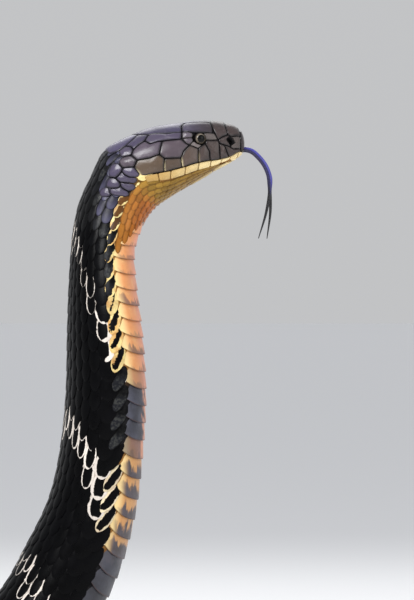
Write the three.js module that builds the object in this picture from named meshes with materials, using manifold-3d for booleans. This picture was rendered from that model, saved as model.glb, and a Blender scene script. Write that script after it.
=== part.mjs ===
// King cobra, life size, rearing up: the front of the body stands, the rest lies in an open coil on the floor.
// Millimetres, +Z up. The origin is on the floor, under the flat of the belly behind where the body lifts off.
// +X is the way the head points, and -Y is the animal's right.
// A place on the body is its distance behind the snout tip along the axis. A girth is the distance round the
// skin from the ridge of the back, down the right side, or down the left side when it is negative.
import * as THREE from 'three';
import { mergeVertices } from 'three/addons/utils/BufferGeometryUtils.js';
import Module from 'manifold-3d';

const wasm = await Module();
wasm.setup();

const { lerp, clamp, degToRad } = THREE.MathUtils;

// Driving dimensions of the whole animal.
const TOTAL_LENGTH = 3600;
const TAIL_LENGTH = 720;
const TIP_FORWARD = 293.2; // snout tip ahead of the origin
const TIP_HEIGHT = 398; // snout tip above the floor
const JOINT_GAP = 0.3; // between two nodes that touch
const TRUNK_NODES = 9;
const TAIL_NODES = 3;

// The raised front, from the snout tip back and down. Each row: the edge of the back (behind the tip, above it),
// the edge of the belly (the same), half the width, the height of the widest level (-1 belly to 1 back),
// and how square the upper and the lower half are (2 is an ellipse).
const RISE = [
  [0.0, 1.3, 0.0, -1.3, 2.4, 0.0, 2.0, 2.0],
  [0.4, 4.0, 0.0, -3.8, 5.4, 0.0, 2.1, 2.0],
  [1.4, 7.0, 0.4, -6.2, 7.9, 0.0, 2.3, 2.1],
  [3.3, 9.3, 1.7, -7.9, 10.2, -0.05, 2.5, 2.2],
  [6.5, 11.3, 4.1, -10.0, 12.7, -0.1, 2.6, 2.2],
  [10.8, 12.9, 7.6, -12.2, 14.8, -0.15, 2.7, 2.2],
  [15.9, 14.0, 12.0, -14.6, 16.6, -0.18, 2.8, 2.2],
  [22.3, 14.5, 17.8, -17.7, 18.2, -0.2, 2.9, 2.2],
  [28.7, 14.4, 23.7, -21.3, 20.0, -0.2, 2.9, 2.2],
  [35.1, 13.8, 29.7, -24.6, 21.8, -0.2, 2.8, 2.2],
  [41.5, 13.0, 35.7, -28.1, 23.3, -0.2, 2.6, 2.2],
  [50.0, 11.8, 43.8, -32.6, 24.8, -0.2, 2.5, 2.2],
  [58.2, 10.4, 46.9, -34.4, 25.5, -0.18, 2.4, 2.2],
  [74.4, 4.2, 50.4, -36.4, 25.2, -0.15, 2.3, 2.2],
  [89.5, -4.8, 54.8, -39.4, 24.2, -0.12, 2.2, 2.2],
  [97.8, -20.5, 58.6, -43.2, 23.8, -0.12, 2.1, 2.2],
  [105.2, -36.8, 62.0, -47.9, 24.6, -0.15, 2.0, 2.2],
  [109.1, -53.4, 65.2, -54.4, 26.6, -0.18, 2.0, 2.3],
  [110.9, -70.7, 69.6, -68.8, 30.5, -0.22, 1.9, 2.4],
  [112.1, -89.9, 68.4, -89.9, 35.5, -0.25, 1.9, 2.4],
  [113.2, -121.9, 64.5, -122.6, 40.0, -0.25, 1.9, 2.4],
  [114.1, -160.3, 62.4, -162.2, 41.0, -0.25, 1.9, 2.4],
  [117.3, -192.3, 64.1, -194.2, 39.5, -0.22, 1.9, 2.4],
  [124.7, -225.6, 69.5, -238.4, 37.0, -0.2, 1.95, 2.4],
  [140.7, -258.9, 84.2, -285.1, 35.0, -0.18, 2.0, 2.5],
];
const NAPE_ROW = 14; // the head ends and the neck begins
const HOOD_ROW = 20;
const RISE_ROW = 23;

// The bend where the body lifts off the floor.
const FOOT_FORWARD = 30; // its lower end, ahead of the origin
const FOOT_RADIUS = 166.4; // of the body's axis
const FOOT_LEAN = [25, 90]; // of the axis from upright, at its upper and its lower end, degrees
const FOOT_STEPS = 6;

// The body on the floor, from the foot of the rise to the tail tip: place, half width, half height.
const GIRTH = [
  [500, 32.5, 29.5],
  [900, 31.5, 28.0],
  [1500, 31.5, 28.0],
  [2150, 30.0, 26.5],
  [2600, 24.5, 22.0],
  [2880, 18.5, 17.0],
  [3100, 13.0, 12.2],
  [3350, 6.8, 6.5],
  [3520, 3.2, 3.2],
  [TOTAL_LENGTH, 0.9, 0.9],
];
const FLOOR_SHAPE = { middle: -0.18, upper: 2.1, lower: 2.6 };
const BELLY_FLAT = 1.05; // how far the round belly would reach past the flat that it rests on, to 1

// The route on the floor, from the foot of the rise to the tail tip: length, and turn seen from above, in
// degrees, positive to the left of the way it runs.
const ROUTE = [
  [95, 0],
  [475, -180],
  [130, 0],
  [640, -180],
  [190, 0],
  [800, -180],
  [150, 50],
  [330, -110],
  [260, 60],
];
const ROUTE_STEP = 2;
const ROUTE_EASE = 70; // length over which one bend passes into the next

// The mouth line on the side of the head: behind the snout tip, above it.
const MOUTH = [
  [-4, -4.4],
  [0.8, -5.3],
  [7.6, -8.1],
  [14.8, -10.2],
  [22.3, -11.2],
  [29.5, -12.6],
  [40.5, -15.9],
  [50.4, -18.3],
  [60.7, -20.4],
  [68, -23],
];
const JAW_INSET = 0.05; // how much narrower the lower jaw is at its tip than the lip over it
const CUT_REACH = 60; // how far the cut along the mouth line reaches past the head

const EYE_RADIUS = 4.1;
const EYE_SHOWN = 3.3; // radius of the round of eye that shows
const EYE_SPOT = [28.4, 2.9]; // behind the snout tip, above it
const NOSTRIL_SPOT = [7.9, 1.2];
const NOSTRIL_RADII = [1.4, 2.4, 2.8]; // along the head, deep, high

// The tongue, from inside the mouth to the fork, and its two tips: behind the snout tip, above it, to the right.
const TONGUE = [
  [5, -4.6, 0],
  [0.4, -3.6, 0],
  [-4.4, -4.4, 0],
  [-9.7, -8.6, 0],
  [-14, -14.4, 0],
  [-16.6, -21.8, 0],
  [-16.8, -28, 0],
];
const TINE_TIPS = [[-9.5, -60.6, 3], [-15, -60.6, -3]];
const TONGUE_SECTION = [4.4, 3.6]; // wide, thick
const TINE_SECTION = [2.1, 2.9]; // at its root
const TINE_END = 0.5;
const TONGUE_TAPER = 0.15; // share of its section that the tongue loses on the way to the fork
const TINE_APART = 0.3; // share of a tip's offset to the side that its tine has at the fork
const TINE_BOW = [0.45, 1.2]; // where a tine bows forward, as a share of its length, and how far

// Fineness of the skins.
const NECK_SIDES = 20;
const HEAD_SIDES = 32;
const HEAD_STEP = 8; // longest distance between two rings of the head
const FLOOR_SIDES = 18;
const TAIL_SIDES = 12;
const FLOOR_STEP = 30; // between two rings of the body on the floor
const TAIL_STEP = 30;
const EYE_SEGMENTS = 14;
const NOSTRIL_SEGMENTS = 10;
const [TONGUE_STEPS, TONGUE_SIDES] = [12, 8];
const GIRTH_STEPS = 72; // steps of angle from back to belly in which a girth is measured
const SPOT_HALVINGS = 40; // of the stretch in which a spot's place is looked for
const WELD = 1e-4; // points nearer than this are one

// Belly scutes of the raised neck.
const SCUTE_PITCH = 10.6;
const SCUTE_LIFT = 1.0;
const SCUTE_STEP = 0.9; // length of the step down behind a scute
const SCUTE_EDGE = 100; // where they begin, degrees from the ridge of the back
const SCUTE_CLEAR = 8; // height over the floor below which they lie flatter
const SCUTE_FIRST = 0.3; // least share of a pitch between the front of a length and its first free edge

// Head shields.
const SHIELD_LIFT = 0.7;
const SHIELD_ROOT = 1.3; // how deep a shield's root is sunk
const SHIELD_SEAM = 0.45; // half of the groove between two shields
const SHIELD_SPAN = 8; // longest edge of a shield's outline
const SHIELD_ROUND = 9; // a shield with an outline of more points than this is also curved inside it
const SHIELD_INNER = 0.5; // size of that inner curve, as a share of the outline
const ROSTRAL_PLACES = [0, 0.4, 1.2, 2.0];
const LIP_CUTS = [2.4, 10.7, 16.5, 23, 30.5, 41.5, 54, 68]; // places where two upper lip shields meet
const JAW_CUTS = [2.4, 9, 15, 22, 30, 39, 49, 59, 69];
const JAW_SHIELD_HIGH = 5;

// The upper edges of the upper lip shields, from the snout back. Each corner: place, girth.
const LIP_TOPS = [
  [[2.5, 20], [7, 25], [12.5, 25.5]],
  [[12.5, 25.5], [15.5, 25.5]],
  [[15.5, 25.5], [16, 23.5], [22, 25], [25, 28.5], [22.5, 32.5]],
  [[22.5, 32.5], [25, 28.5], [29.5, 31.5]],
  [[29.5, 31.5], [35, 29.5], [39, 33], [41.5, 37.5]],
  [[41.5, 37.5], [52, 37]],
  [[52, 37], [60, 34], [67, 31.5], [70.5, 34.5], [70.5, 41]],
];

// The other shields of one side of the head. Each corner: place, girth.
const SIDE_SHIELDS = {
  nasalFront: [[2, 11], [7, 17], [6.5, 20.5], [9, 25], [7, 25], [2.5, 20]],
  nasalRear: [[9.5, 17.5], [13, 20.5], [16, 23.5], [15.5, 25.5], [12.5, 25.5], [9, 25], [9.3, 21]],
  internasal: [[2.2, 0], [2, 11], [7, 17], [9.5, 17.5], [10.5, 12], [10.5, 0]],
  prefrontal: [[10.5, 0], [10.5, 12], [9.5, 17.5], [13, 20.5], [16, 23.5], [18.5, 16.5], [19.5, 10.5], [19.5, 0]],
  supraocular: [[19.5, 10.5], [18.5, 16.5], [19, 20], [27, 21], [33.5, 21], [38.5, 20], [38.5, 13.5], [36, 9]],
  preocular: [[17.7, 19.5], [16, 23.5], [22, 25], [23, 22.5], [21.5, 20.5]],
  postocularHigh: [[38.5, 20], [33.5, 21], [33.3, 25], [39, 24.7]],
  postocularMiddle: [[39, 24.7], [33.3, 25], [32.8, 27.7], [35, 29.5], [37, 28.3]],
  postocularLow: [[32.8, 27.7], [29.5, 29], [29.5, 31.5], [35, 29.5]],
  parietal: [[42, 0], [36, 9], [38.5, 13.5], [38.5, 20], [49.5, 19.5], [57, 17], [61, 11.5], [64, 0]],
  occipital: [[64, 0], [61, 11.5], [64, 15], [68, 17.5], [72, 18.5], [75.8, 15], [75.8, 0]],
  upperTemporalFront: [[38.5, 20], [39.5, 25], [47, 25], [57.5, 25], [59.5, 21], [57, 17], [49.5, 19.5]],
  upperTemporalRear: [[57, 17], [59.5, 21], [61.5, 21.5], [66, 20], [68, 17.5], [64, 15], [61, 11.5]],
  temporalFront: [
    [39.5, 25], [37, 28.3], [35, 29.5], [39, 33], [41.5, 37.5], [52, 37], [54.5, 34], [53, 29.7], [51.5, 25.3],
  ],
  temporalRear: [
    [51.5, 25.3], [53, 29.7], [54.5, 34], [60, 34], [67, 31.5], [68, 26.5], [65.7, 23.5], [61.5, 21.5],
    [59.5, 21], [57.5, 25],
  ],
  napeHigh: [[66, 20], [65.7, 23.5], [68, 26.5], [72.7, 24], [72, 18.5], [68, 17.5]],
  napeMiddle: [[68, 26.5], [67, 31.5], [70.5, 34.5], [75.8, 30.5], [75.6, 25.5], [72.7, 24]],
  napeLow: [[70.5, 34.5], [70.5, 41], [74.5, 40], [75.8, 31]],
};
const FRONTAL = [[19.5, -10.5], [19.5, 10.5], [36, 9], [42, 0], [36, -9]];

// The two pairs of chin shields. Each corner: place, distance from the middle of the belly.
const CHIN_SHIELDS = [
  [[7.5, 0], [7.5, 5], [13, 8], [21, 8], [22.5, 0]],
  [[23, 0.5], [21.5, 7.5], [28, 9], [37, 8], [36, 4]],
];

// Colours and roughness of the materials.
const LOOKS = {
  scales: [0x14110f, 0.38],
  shields: [0x4a4450, 0.42],
  jaw: [0xc9a55a, 0.45],
  tongue: [0x3a2f7a, 0.3],
  eye: [0x0c0a08, 0.08],
};

const group = new THREE.Group();

function addNode(name, look, geometry) {
  const [color, roughness] = LOOKS[look];
  const mesh = new THREE.Mesh(geometry, new THREE.MeshStandardMaterial({ color, roughness, metalness: 0 }));
  mesh.name = name;
  group.add(mesh);
}

// A smooth curve through rows of values at rising places, with slopes taken from each row's neighbours.
function smoothRows(places, rows) {
  const last = places.length - 1;
  const slopeAt = (i, column) => {
    const before = Math.max(i - 1, 0);
    const after = Math.min(i + 1, last);
    const ahead = (rows[after][column] - rows[i][column]) / (places[after] - places[i] || 1);
    const behind = (rows[i][column] - rows[before][column]) / (places[i] - places[before] || 1);
    if (i === 0) return ahead;
    if (i === last) return behind;
    const share = (places[i] - places[before]) / (places[after] - places[before]);
    return lerp(behind, ahead, share);
  };
  const slopes = rows.map((row, i) => row.map((_, column) => slopeAt(i, column)));
  return (place) => {
    let i = 0;
    while (i < last - 1 && place > places[i + 1]) i += 1;
    const span = places[i + 1] - places[i];
    const t = clamp((place - places[i]) / span, 0, 1);
    const start = (1 + 2 * t) * (1 - t) * (1 - t);
    const leave = t * (1 - t) * (1 - t) * span;
    const end = t * t * (3 - 2 * t);
    const arrive = t * t * (t - 1) * span;
    return rows[i].map((value, column) => start * value + leave * slopes[i][column]
      + end * rows[i + 1][column] + arrive * slopes[i + 1][column]);
  };
}

// A section of the foot's bend as a row like those of RISE, in the part's frame: t runs from 0 at its upper
// end to 1 on the floor, and past 1 along the floor.
function footRow(top, t) {
  const [, footWidth, footDepth] = GIRTH[0];
  const share = Math.min(t, 1);
  const lean = degToRad(lerp(FOOT_LEAN[0], FOOT_LEAN[1], share));
  const depth = lerp(Math.hypot(top[0] - top[2], top[1] - top[3]) / 2, footDepth, share);
  const up = [-Math.cos(lean), Math.sin(lean)];
  const along = (t - share) * degToRad(FOOT_LEAN[1] - FOOT_LEAN[0]) * FOOT_RADIUS;
  const axis = [FOOT_FORWARD - FOOT_RADIUS * up[0] - along, FOOT_RADIUS + footDepth - FOOT_RADIUS * up[1]];
  return [
    axis[0] + depth * up[0], axis[1] + depth * up[1],
    axis[0] - depth * up[0], axis[1] - depth * up[1],
    lerp(top[4], footWidth, share),
    lerp(top[5], FLOOR_SHAPE.middle, share),
    lerp(top[6], FLOOR_SHAPE.upper, share),
    lerp(top[7], FLOOR_SHAPE.lower, share),
  ];
}

function riseRows() {
  const rows = RISE.map(([backBehind, backAbove, bellyBehind, bellyAbove, ...shape]) => [
    TIP_FORWARD - backBehind, TIP_HEIGHT + backAbove,
    TIP_FORWARD - bellyBehind, TIP_HEIGHT + bellyAbove,
    ...shape,
  ]);
  const top = rows[rows.length - 1];
  for (let k = 1; k <= FOOT_STEPS + 1; k += 1) rows.push(footRow(top, k / FOOT_STEPS));
  return rows;
}

// How far behind the snout tip each row lies, along the axis midway between back and belly.
function placesOf(rows) {
  const places = [0];
  for (let i = 1; i < rows.length; i += 1) {
    const [row, before] = [rows[i], rows[i - 1]];
    const dx = (row[0] + row[2] - before[0] - before[2]) / 2;
    const dz = (row[1] + row[3] - before[1] - before[3]) / 2;
    places.push(places[i - 1] + Math.hypot(dx, dz));
  }
  return places;
}

const riseTable = riseRows();
const risePlaces = placesOf(riseTable);
const riseAt = smoothRows(risePlaces, riseTable);
const NAPE = risePlaces[NAPE_ROW];
const HOOD = risePlaces[HOOD_ROW];
const RISE_BASE = risePlaces[RISE_ROW];
const FOOT = risePlaces[risePlaces.length - 2];
const VENT = TOTAL_LENGTH - TAIL_LENGTH;
const girthAt = smoothRows(
  GIRTH.map(([place], i) => (i === 0 ? FOOT : place)),
  GIRTH.map(([, width, depth]) => [width, depth]),
);

// The route's bends, eased into one another by a running mean and summed into headings and points.
function routeFromFoot() {
  const count = Math.ceil((TOTAL_LENGTH - FOOT) / ROUTE_STEP);
  const bendAt = (behind) => {
    let start = 0;
    for (const [run, turn] of ROUTE) {
      if (behind >= start && behind < start + run) return degToRad(turn) / run;
      start += run;
    }
    return 0;
  };
  const reach = Math.round(ROUTE_EASE / 2 / ROUTE_STEP);
  const points = [[FOOT_FORWARD, 0]];
  const headings = [Math.PI];
  for (let i = 0; i < count; i += 1) {
    let bend = 0;
    for (let k = -reach; k <= reach; k += 1) bend += bendAt((i + 0.5 + k) * ROUTE_STEP) / (2 * reach + 1);
    const middle = headings[i] + (bend * ROUTE_STEP) / 2;
    const [x, y] = points[i];
    points.push([x + ROUTE_STEP * Math.cos(middle), y + ROUTE_STEP * Math.sin(middle)]);
    headings.push(headings[i] + bend * ROUTE_STEP);
  }
  return (behind) => {
    const steps = clamp(behind / ROUTE_STEP, 0, count - 1e-6);
    const i = Math.floor(steps);
    return {
      x: lerp(points[i][0], points[i + 1][0], steps - i),
      y: lerp(points[i][1], points[i + 1][1], steps - i),
      heading: lerp(headings[i], headings[i + 1], steps - i),
    };
  };
}
const routeAt = routeFromFoot();

// The body's cross section at a place: centre, directions, half sizes and shape.
function frameAt(place) {
  if (place <= FOOT) {
    const [backX, backZ, bellyX, bellyZ, width, middle, upper, lower] = riseAt(place);
    const up = new THREE.Vector3(backX - bellyX, 0, backZ - bellyZ);
    const depth = up.length() / 2;
    const centre = new THREE.Vector3((backX + bellyX) / 2, 0, (backZ + bellyZ) / 2);
    return { centre, right: new THREE.Vector3(0, -1, 0), up: up.normalize(), width, depth, middle, upper, lower };
  }
  const [width, depth] = girthAt(place);
  const { x, y, heading } = routeAt(place - FOOT);
  return {
    centre: new THREE.Vector3(x, y, depth),
    right: new THREE.Vector3(-Math.sin(heading), Math.cos(heading), 0),
    up: new THREE.Vector3(0, 0, 1),
    width,
    depth,
    ...FLOOR_SHAPE,
  };
}

// A point of the skin. Angle 0 is the ridge of the back, a quarter turn the right side, a half turn the belly.
// Lift moves it out, and narrow takes a share off the width.
function skinPoint(frame, angle, lift = 0, narrow = 0) {
  const [cosine, sine] = [Math.cos(angle), Math.sin(angle)];
  const square = cosine >= 0 ? frame.upper : frame.lower;
  const across = Math.sign(sine) * Math.abs(sine) ** (2 / square);
  const high = Math.abs(cosine) ** (2 / square);
  const level = cosine >= 0
    ? frame.middle + (1 - frame.middle) * high
    : Math.max(frame.middle - (1 + frame.middle) * BELLY_FLAT * high, -1);
  return frame.centre.clone()
    .addScaledVector(frame.right, across * (frame.width + lift) * (1 - narrow))
    .addScaledVector(frame.up, level * (frame.depth + lift));
}

// The angle of the skin at a level from -1 at the belly to 1 at the back.
function angleOfLevel(frame, level) {
  if (level >= frame.middle) {
    return Math.acos(Math.min((level - frame.middle) / (1 - frame.middle), 1) ** (frame.upper / 2));
  }
  const low = Math.min((frame.middle - level) / ((1 + frame.middle) * BELLY_FLAT), 1);
  return Math.PI - Math.acos(low ** (frame.lower / 2));
}

// The girths of even steps of angle from the back to the belly.
function girthsOf(frame) {
  const girths = [0];
  let before = skinPoint(frame, 0);
  for (let i = 1; i <= GIRTH_STEPS; i += 1) {
    const point = skinPoint(frame, (Math.PI * i) / GIRTH_STEPS);
    girths.push(girths[i - 1] + point.distanceTo(before));
    before = point;
  }
  return girths;
}

function angleOfGirth(frame, girth) {
  const girths = girthsOf(frame);
  const round = clamp(Math.abs(girth), 0, girths[GIRTH_STEPS]);
  let i = 0;
  while (i < GIRTH_STEPS - 1 && girths[i + 1] < round) i += 1;
  const share = (round - girths[i]) / (girths[i + 1] - girths[i]);
  return (Math.sign(girth) * Math.PI * (i + share)) / GIRTH_STEPS;
}

// The place and angle of a point of the right side, given in the side view: behind the snout tip, above it.
function spotOf([behind, above]) {
  const target = new THREE.Vector3(TIP_FORWARD - behind, 0, TIP_HEIGHT + above);
  const pastSection = (place) => {
    const { centre, up } = frameAt(place);
    return target.clone().sub(centre).dot(new THREE.Vector3(up.z, 0, -up.x)) < 0;
  };
  let [near, far] = [0, HOOD];
  for (let i = 0; i < SPOT_HALVINGS; i += 1) {
    const middle = (near + far) / 2;
    if (pastSection(middle)) near = middle;
    else far = middle;
  }
  const frame = frameAt(near);
  const level = target.sub(frame.centre).dot(frame.up) / frame.depth;
  return { place: near, angle: angleOfLevel(frame, level) };
}

function solidOf(geometry) {
  const bare = new THREE.BufferGeometry();
  bare.setAttribute('position', geometry.getAttribute('position'));
  bare.setIndex(geometry.getIndex());
  const merged = mergeVertices(bare, WELD);
  return new wasm.Manifold(new wasm.Mesh({
    numProp: 3,
    vertProperties: new Float32Array(merged.getAttribute('position').array),
    triVerts: new Uint32Array(merged.getIndex().array),
  }));
}

function geometryOf(solid) {
  const largest = solid.decompose().reduce((a, b) => (a.volume() > b.volume() ? a : b));
  const mesh = largest.getMesh();
  const geometry = new THREE.BufferGeometry();
  geometry.setAttribute('position', new THREE.BufferAttribute(new Float32Array(mesh.vertProperties), 3));
  geometry.setIndex(new THREE.BufferAttribute(new Uint32Array(mesh.triVerts), 1));
  return geometry;
}

// A closed skin over rings of points, with a fan at each end and its faces pointing out.
function loft(rings) {
  const sides = rings[0].length;
  const meanOf = (points) => points.reduce((sum, p) => sum.add(p), new THREE.Vector3()).divideScalar(sides);
  const points = [...rings.flat(), meanOf(rings[0]), meanOf(rings[rings.length - 1])];
  const faces = [];
  const firstFan = rings.length * sides;
  const lastRing = firstFan - sides;
  for (let j = 0; j < sides; j += 1) {
    const k = (j + 1) % sides;
    for (let start = 0; start < lastRing; start += sides) {
      faces.push([start + j, start + k, start + sides + j], [start + k, start + sides + k, start + sides + j]);
    }
    faces.push([firstFan, k, j], [firstFan + 1, lastRing + j, lastRing + k]);
  }
  const volume = faces.reduce((sum, [a, b, c]) => sum + points[a].dot(points[b].clone().cross(points[c])), 0);
  const outward = volume > 0 ? faces : faces.map(([a, b, c]) => [b, a, c]);
  const geometry = new THREE.BufferGeometry();
  const positions = new Float32Array(points.flatMap((p) => [p.x, p.y, p.z]));
  geometry.setAttribute('position', new THREE.BufferAttribute(positions, 3));
  geometry.setIndex(outward.flat());
  return geometry;
}

// A ring of skin points round a place. Shift turns it by a share of the step between two points.
function ring(place, sides, { liftAt = () => 0, narrow = 0, shift = 0 } = {}) {
  const frame = frameAt(place);
  return Array.from({ length: sides }, (_, j) => {
    const angle = (2 * Math.PI * (j + shift)) / sides;
    return skinPoint(frame, angle, liftAt(angle), narrow);
  });
}

// How far the free rear edge of a belly scute stands off the skin, less near the floor.
function scuteLift(place) {
  const { centre, up, depth } = frameAt(place);
  const clear = clamp((centre.z - up.z * depth) / SCUTE_CLEAR, 0, 1);
  return (angle) => {
    const fromBack = Math.min(angle, 2 * Math.PI - angle);
    return fromBack > degToRad(SCUTE_EDGE) ? SCUTE_LIFT * clear : 0;
  };
}

// A length of the raised neck: every belly scute rises from its front edge to a free rear edge.
function scuteLength(from, to) {
  const rings = [ring(from, NECK_SIDES)];
  const first = Math.ceil(from / SCUTE_PITCH + SCUTE_FIRST);
  for (let edge = first * SCUTE_PITCH; edge < to - SCUTE_STEP; edge += SCUTE_PITCH) {
    const high = edge - SCUTE_STEP;
    rings.push(ring(high, NECK_SIDES, { liftAt: scuteLift(high) }), ring(edge, NECK_SIDES));
  }
  rings.push(ring(to, NECK_SIDES));
  return loft(rings);
}

function plainLength(from, to, sides, step, shift = 0) {
  const count = Math.ceil((to - from) / step);
  return loft(Array.from({ length: count + 1 }, (_, i) => ring(lerp(from, to, i / count), sides, { shift })));
}

// A flat outline in the plane of symmetry, thickened to both sides into a closed prism.
function prism(outline, halfDepth) {
  const shape = new THREE.Shape(outline.map(([x, z]) => new THREE.Vector2(x, z)));
  const geometry = new THREE.ExtrudeGeometry(shape, { depth: 2 * halfDepth, bevelEnabled: false });
  geometry.translate(0, 0, -halfDepth);
  geometry.rotateX(Math.PI / 2);
  return solidOf(geometry);
}

// Everything below the mouth line, raised by a little.
function belowMouth(shift) {
  const line = MOUTH.map(([behind, above]) => [TIP_FORWARD - behind, TIP_HEIGHT + above + shift]);
  const [front, back] = [line[0], line[line.length - 1]];
  const [rear, low] = [back[0] - CUT_REACH, back[1] - 2 * CUT_REACH];
  return prism([...line, [rear, back[1] - CUT_REACH], [rear, low], [front[0], low]], CUT_REACH);
}

// The girth of the lip at a place, from the mouth line.
const lipLine = MOUTH.slice(1).map(spotOf).map(({ place, angle }) => {
  const girths = girthsOf(frameAt(place));
  const step = (angle / Math.PI) * GIRTH_STEPS;
  const i = Math.floor(step);
  return [place, lerp(girths[i], girths[i + 1], step - i)];
});
const lipAt = smoothRows(lipLine.map(([place]) => place), lipLine.map(([, girth]) => [girth]));

// The corners of an outline and points between them, no further apart than SHIELD_SPAN.
function finer(corners) {
  return corners.flatMap((corner, i) => {
    const next = corners[(i + 1) % corners.length];
    const count = Math.ceil(Math.hypot(next[0] - corner[0], next[1] - corner[1]) / SHIELD_SPAN);
    return Array.from({ length: count }, (_, k) => corner.map((value, axis) => lerp(value, next[axis], k / count)));
  });
}

// The outline moved in by a distance, each point along the mean of its two edges' normals.
function inset(outline, by) {
  const next = (i) => outline[(i + 1) % outline.length];
  const area = outline.reduce((sum, [x, y], i) => sum + x * next(i)[1] - next(i)[0] * y, 0);
  const normalOf = ([x0, y0], [x1, y1]) => {
    const length = Math.sign(area) * Math.hypot(x1 - x0, y1 - y0);
    return [(y0 - y1) / length, (x1 - x0) / length];
  };
  return outline.map((point, i) => {
    const before = normalOf(outline[(i + outline.length - 1) % outline.length], point);
    const after = normalOf(point, next(i));
    const spread = Math.max(1 + before[0] * after[0] + before[1] * after[1], 0.5);
    return point.map((value, axis) => value + (by * (before[axis] + after[axis])) / spread);
  });
}

// A head shield: a thin plate with slanted sides, its root sunk in the skin.
function shield(corners, side = 1, narrowAt = () => 0) {
  const outline = finer(corners);
  const rim = inset(outline, SHIELD_SEAM);
  const middle = rim[0].map((_, axis) => rim.reduce((sum, point) => sum + point[axis] / rim.length, 0));
  const inner = rim.map((point) => point.map((value, axis) => lerp(value, middle[axis], SHIELD_INNER)));
  const layer = (points, lift) => points.map(([place, girth]) => {
    const frame = frameAt(place);
    return skinPoint(frame, side * angleOfGirth(frame, girth), lift, narrowAt(place));
  });
  const layers = [layer(outline, -SHIELD_ROOT), layer(rim, SHIELD_LIFT)];
  if (outline.length > SHIELD_ROUND) layers.push(layer(inner, SHIELD_LIFT));
  return solidOf(loft(layers));
}

function lipShield(i) {
  const bottom = [LIP_CUTS[i + 1], LIP_CUTS[i]].map((place) => [place, lipAt(place)[0] + SHIELD_SEAM]);
  return [...LIP_TOPS[i], ...bottom];
}

function jawShield(i) {
  const cuts = [JAW_CUTS[i], JAW_CUTS[i + 1]];
  const top = cuts.map((place) => [place, lipAt(place)[0] - SHIELD_SEAM]);
  const bottom = cuts.map((place) => [place, lipAt(place)[0] + JAW_SHIELD_HIGH]).reverse();
  return [...top, ...bottom];
}

function chinShield(corners) {
  return corners.map(([place, fromBelly]) => [place, girthsOf(frameAt(place)).pop() - fromBelly]);
}

// The head's rings: one at each row, and one more between two rows that lie far apart.
const headPlaces = risePlaces.slice(0, NAPE_ROW).flatMap((place, i) => {
  const next = risePlaces[i + 1];
  return next - place > HEAD_STEP ? [place, (place + next) / 2] : [place];
});
headPlaces.push(NAPE - JOINT_GAP / 2);

// The whole skin of the head with a raised cap over the snout tip, the sides taken in by narrowAt.
function headSkin(narrowAt) {
  const ringAt = (lift) => (place) => ring(place, HEAD_SIDES, { liftAt: () => lift, narrow: narrowAt(place) });
  const cap = solidOf(loft(ROSTRAL_PLACES.map(ringAt(SHIELD_LIFT))));
  return solidOf(loft(headPlaces.map(ringAt(0)))).add(cap);
}

function ball(centre, radii, side, segments) {
  const geometry = new THREE.SphereGeometry(1, segments, segments - 4);
  geometry.scale(...radii);
  geometry.translate(centre.x, side * centre.y, centre.z);
  return geometry;
}

// The centre of a ball sunk in the right side of the head so that a round of the given radius shows.
function sunkCentre(spot, radius, shown) {
  const { place, angle } = spotOf(spot);
  const skin = skinPoint(frameAt(place), angle);
  return skin.add(new THREE.Vector3(0, Math.sqrt(radius * radius - shown * shown), 0));
}

const ahead = ([behind, above, right]) => new THREE.Vector3(TIP_FORWARD - behind, -right, TIP_HEIGHT + above);

// A strand of the tongue along points, its oval section given by t from 0 to 1 and swollen by a little.
function strand(points, sectionAt, swell = 0) {
  const curve = new THREE.CatmullRomCurve3(points.map(ahead));
  const across = new THREE.Vector3(0, 1, 0);
  return solidOf(loft(Array.from({ length: TONGUE_STEPS + 1 }, (_, i) => {
    const t = i / TONGUE_STEPS;
    const thick = across.clone().cross(curve.getTangent(t)).normalize();
    const [wide, high] = sectionAt(t).map((size) => size / 2 + swell);
    return Array.from({ length: TONGUE_SIDES }, (__, j) => {
      const angle = (2 * Math.PI * (j + 0.5)) / TONGUE_SIDES;
      return curve.getPoint(t)
        .addScaledVector(across, wide * Math.cos(angle))
        .addScaledVector(thick, high * Math.sin(angle));
    });
  })));
}

const tongueStem = (swell) => strand(TONGUE, (t) => TONGUE_SECTION.map((size) => size * (1 - TONGUE_TAPER * t)), swell);

function tine(tip) {
  const fork = TONGUE[TONGUE.length - 1];
  const before = TONGUE[TONGUE.length - 2];
  const between = (from, to, share) => from.map((value, axis) => lerp(value, to[axis], share));
  const [, , right] = tip;
  const root = between(before, fork, 0.5);
  const bow = between(fork, tip, TINE_BOW[0]);
  const apart = right * TINE_APART;
  const route = [[root[0], root[1], apart], [fork[0], fork[1], apart], [bow[0] - TINE_BOW[1], bow[1], bow[2]], tip];
  return strand(route, (t) => TINE_SECTION.map((size) => lerp(size, TINE_END, t)));
}

// The head down to the mouth line, with its shields, eye sockets and nostrils.
function upperHead() {
  const lipShields = LIP_TOPS.map((_, i) => lipShield(i));
  let solid = headSkin(() => 0).add(shield(FRONTAL));
  for (const side of [1, -1]) {
    for (const corners of [...Object.values(SIDE_SHIELDS), ...lipShields]) solid = solid.add(shield(corners, side));
    const socket = EYE_RADIUS + JOINT_GAP;
    solid = solid.subtract(solidOf(ball(eyeCentre, [socket, socket, socket], side, EYE_SEGMENTS)));
    solid = solid.subtract(solidOf(ball(nostrilCentre, NOSTRIL_RADII, side, NOSTRIL_SEGMENTS)));
  }
  return solid.subtract(belowMouth(JOINT_GAP / 2)).subtract(tongueStem(JOINT_GAP));
}

function lowerJaw() {
  const narrowAt = (place) => JAW_INSET * (1 - place / NAPE);
  let solid = headSkin(narrowAt);
  for (const side of [1, -1]) {
    for (let i = 0; i + 1 < JAW_CUTS.length; i += 1) solid = solid.add(shield(jawShield(i), side, narrowAt));
    for (const corners of CHIN_SHIELDS) solid = solid.add(shield(chinShield(corners), side, narrowAt));
  }
  return solid.intersect(belowMouth(-JOINT_GAP / 2)).subtract(tongueStem(JOINT_GAP));
}

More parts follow.
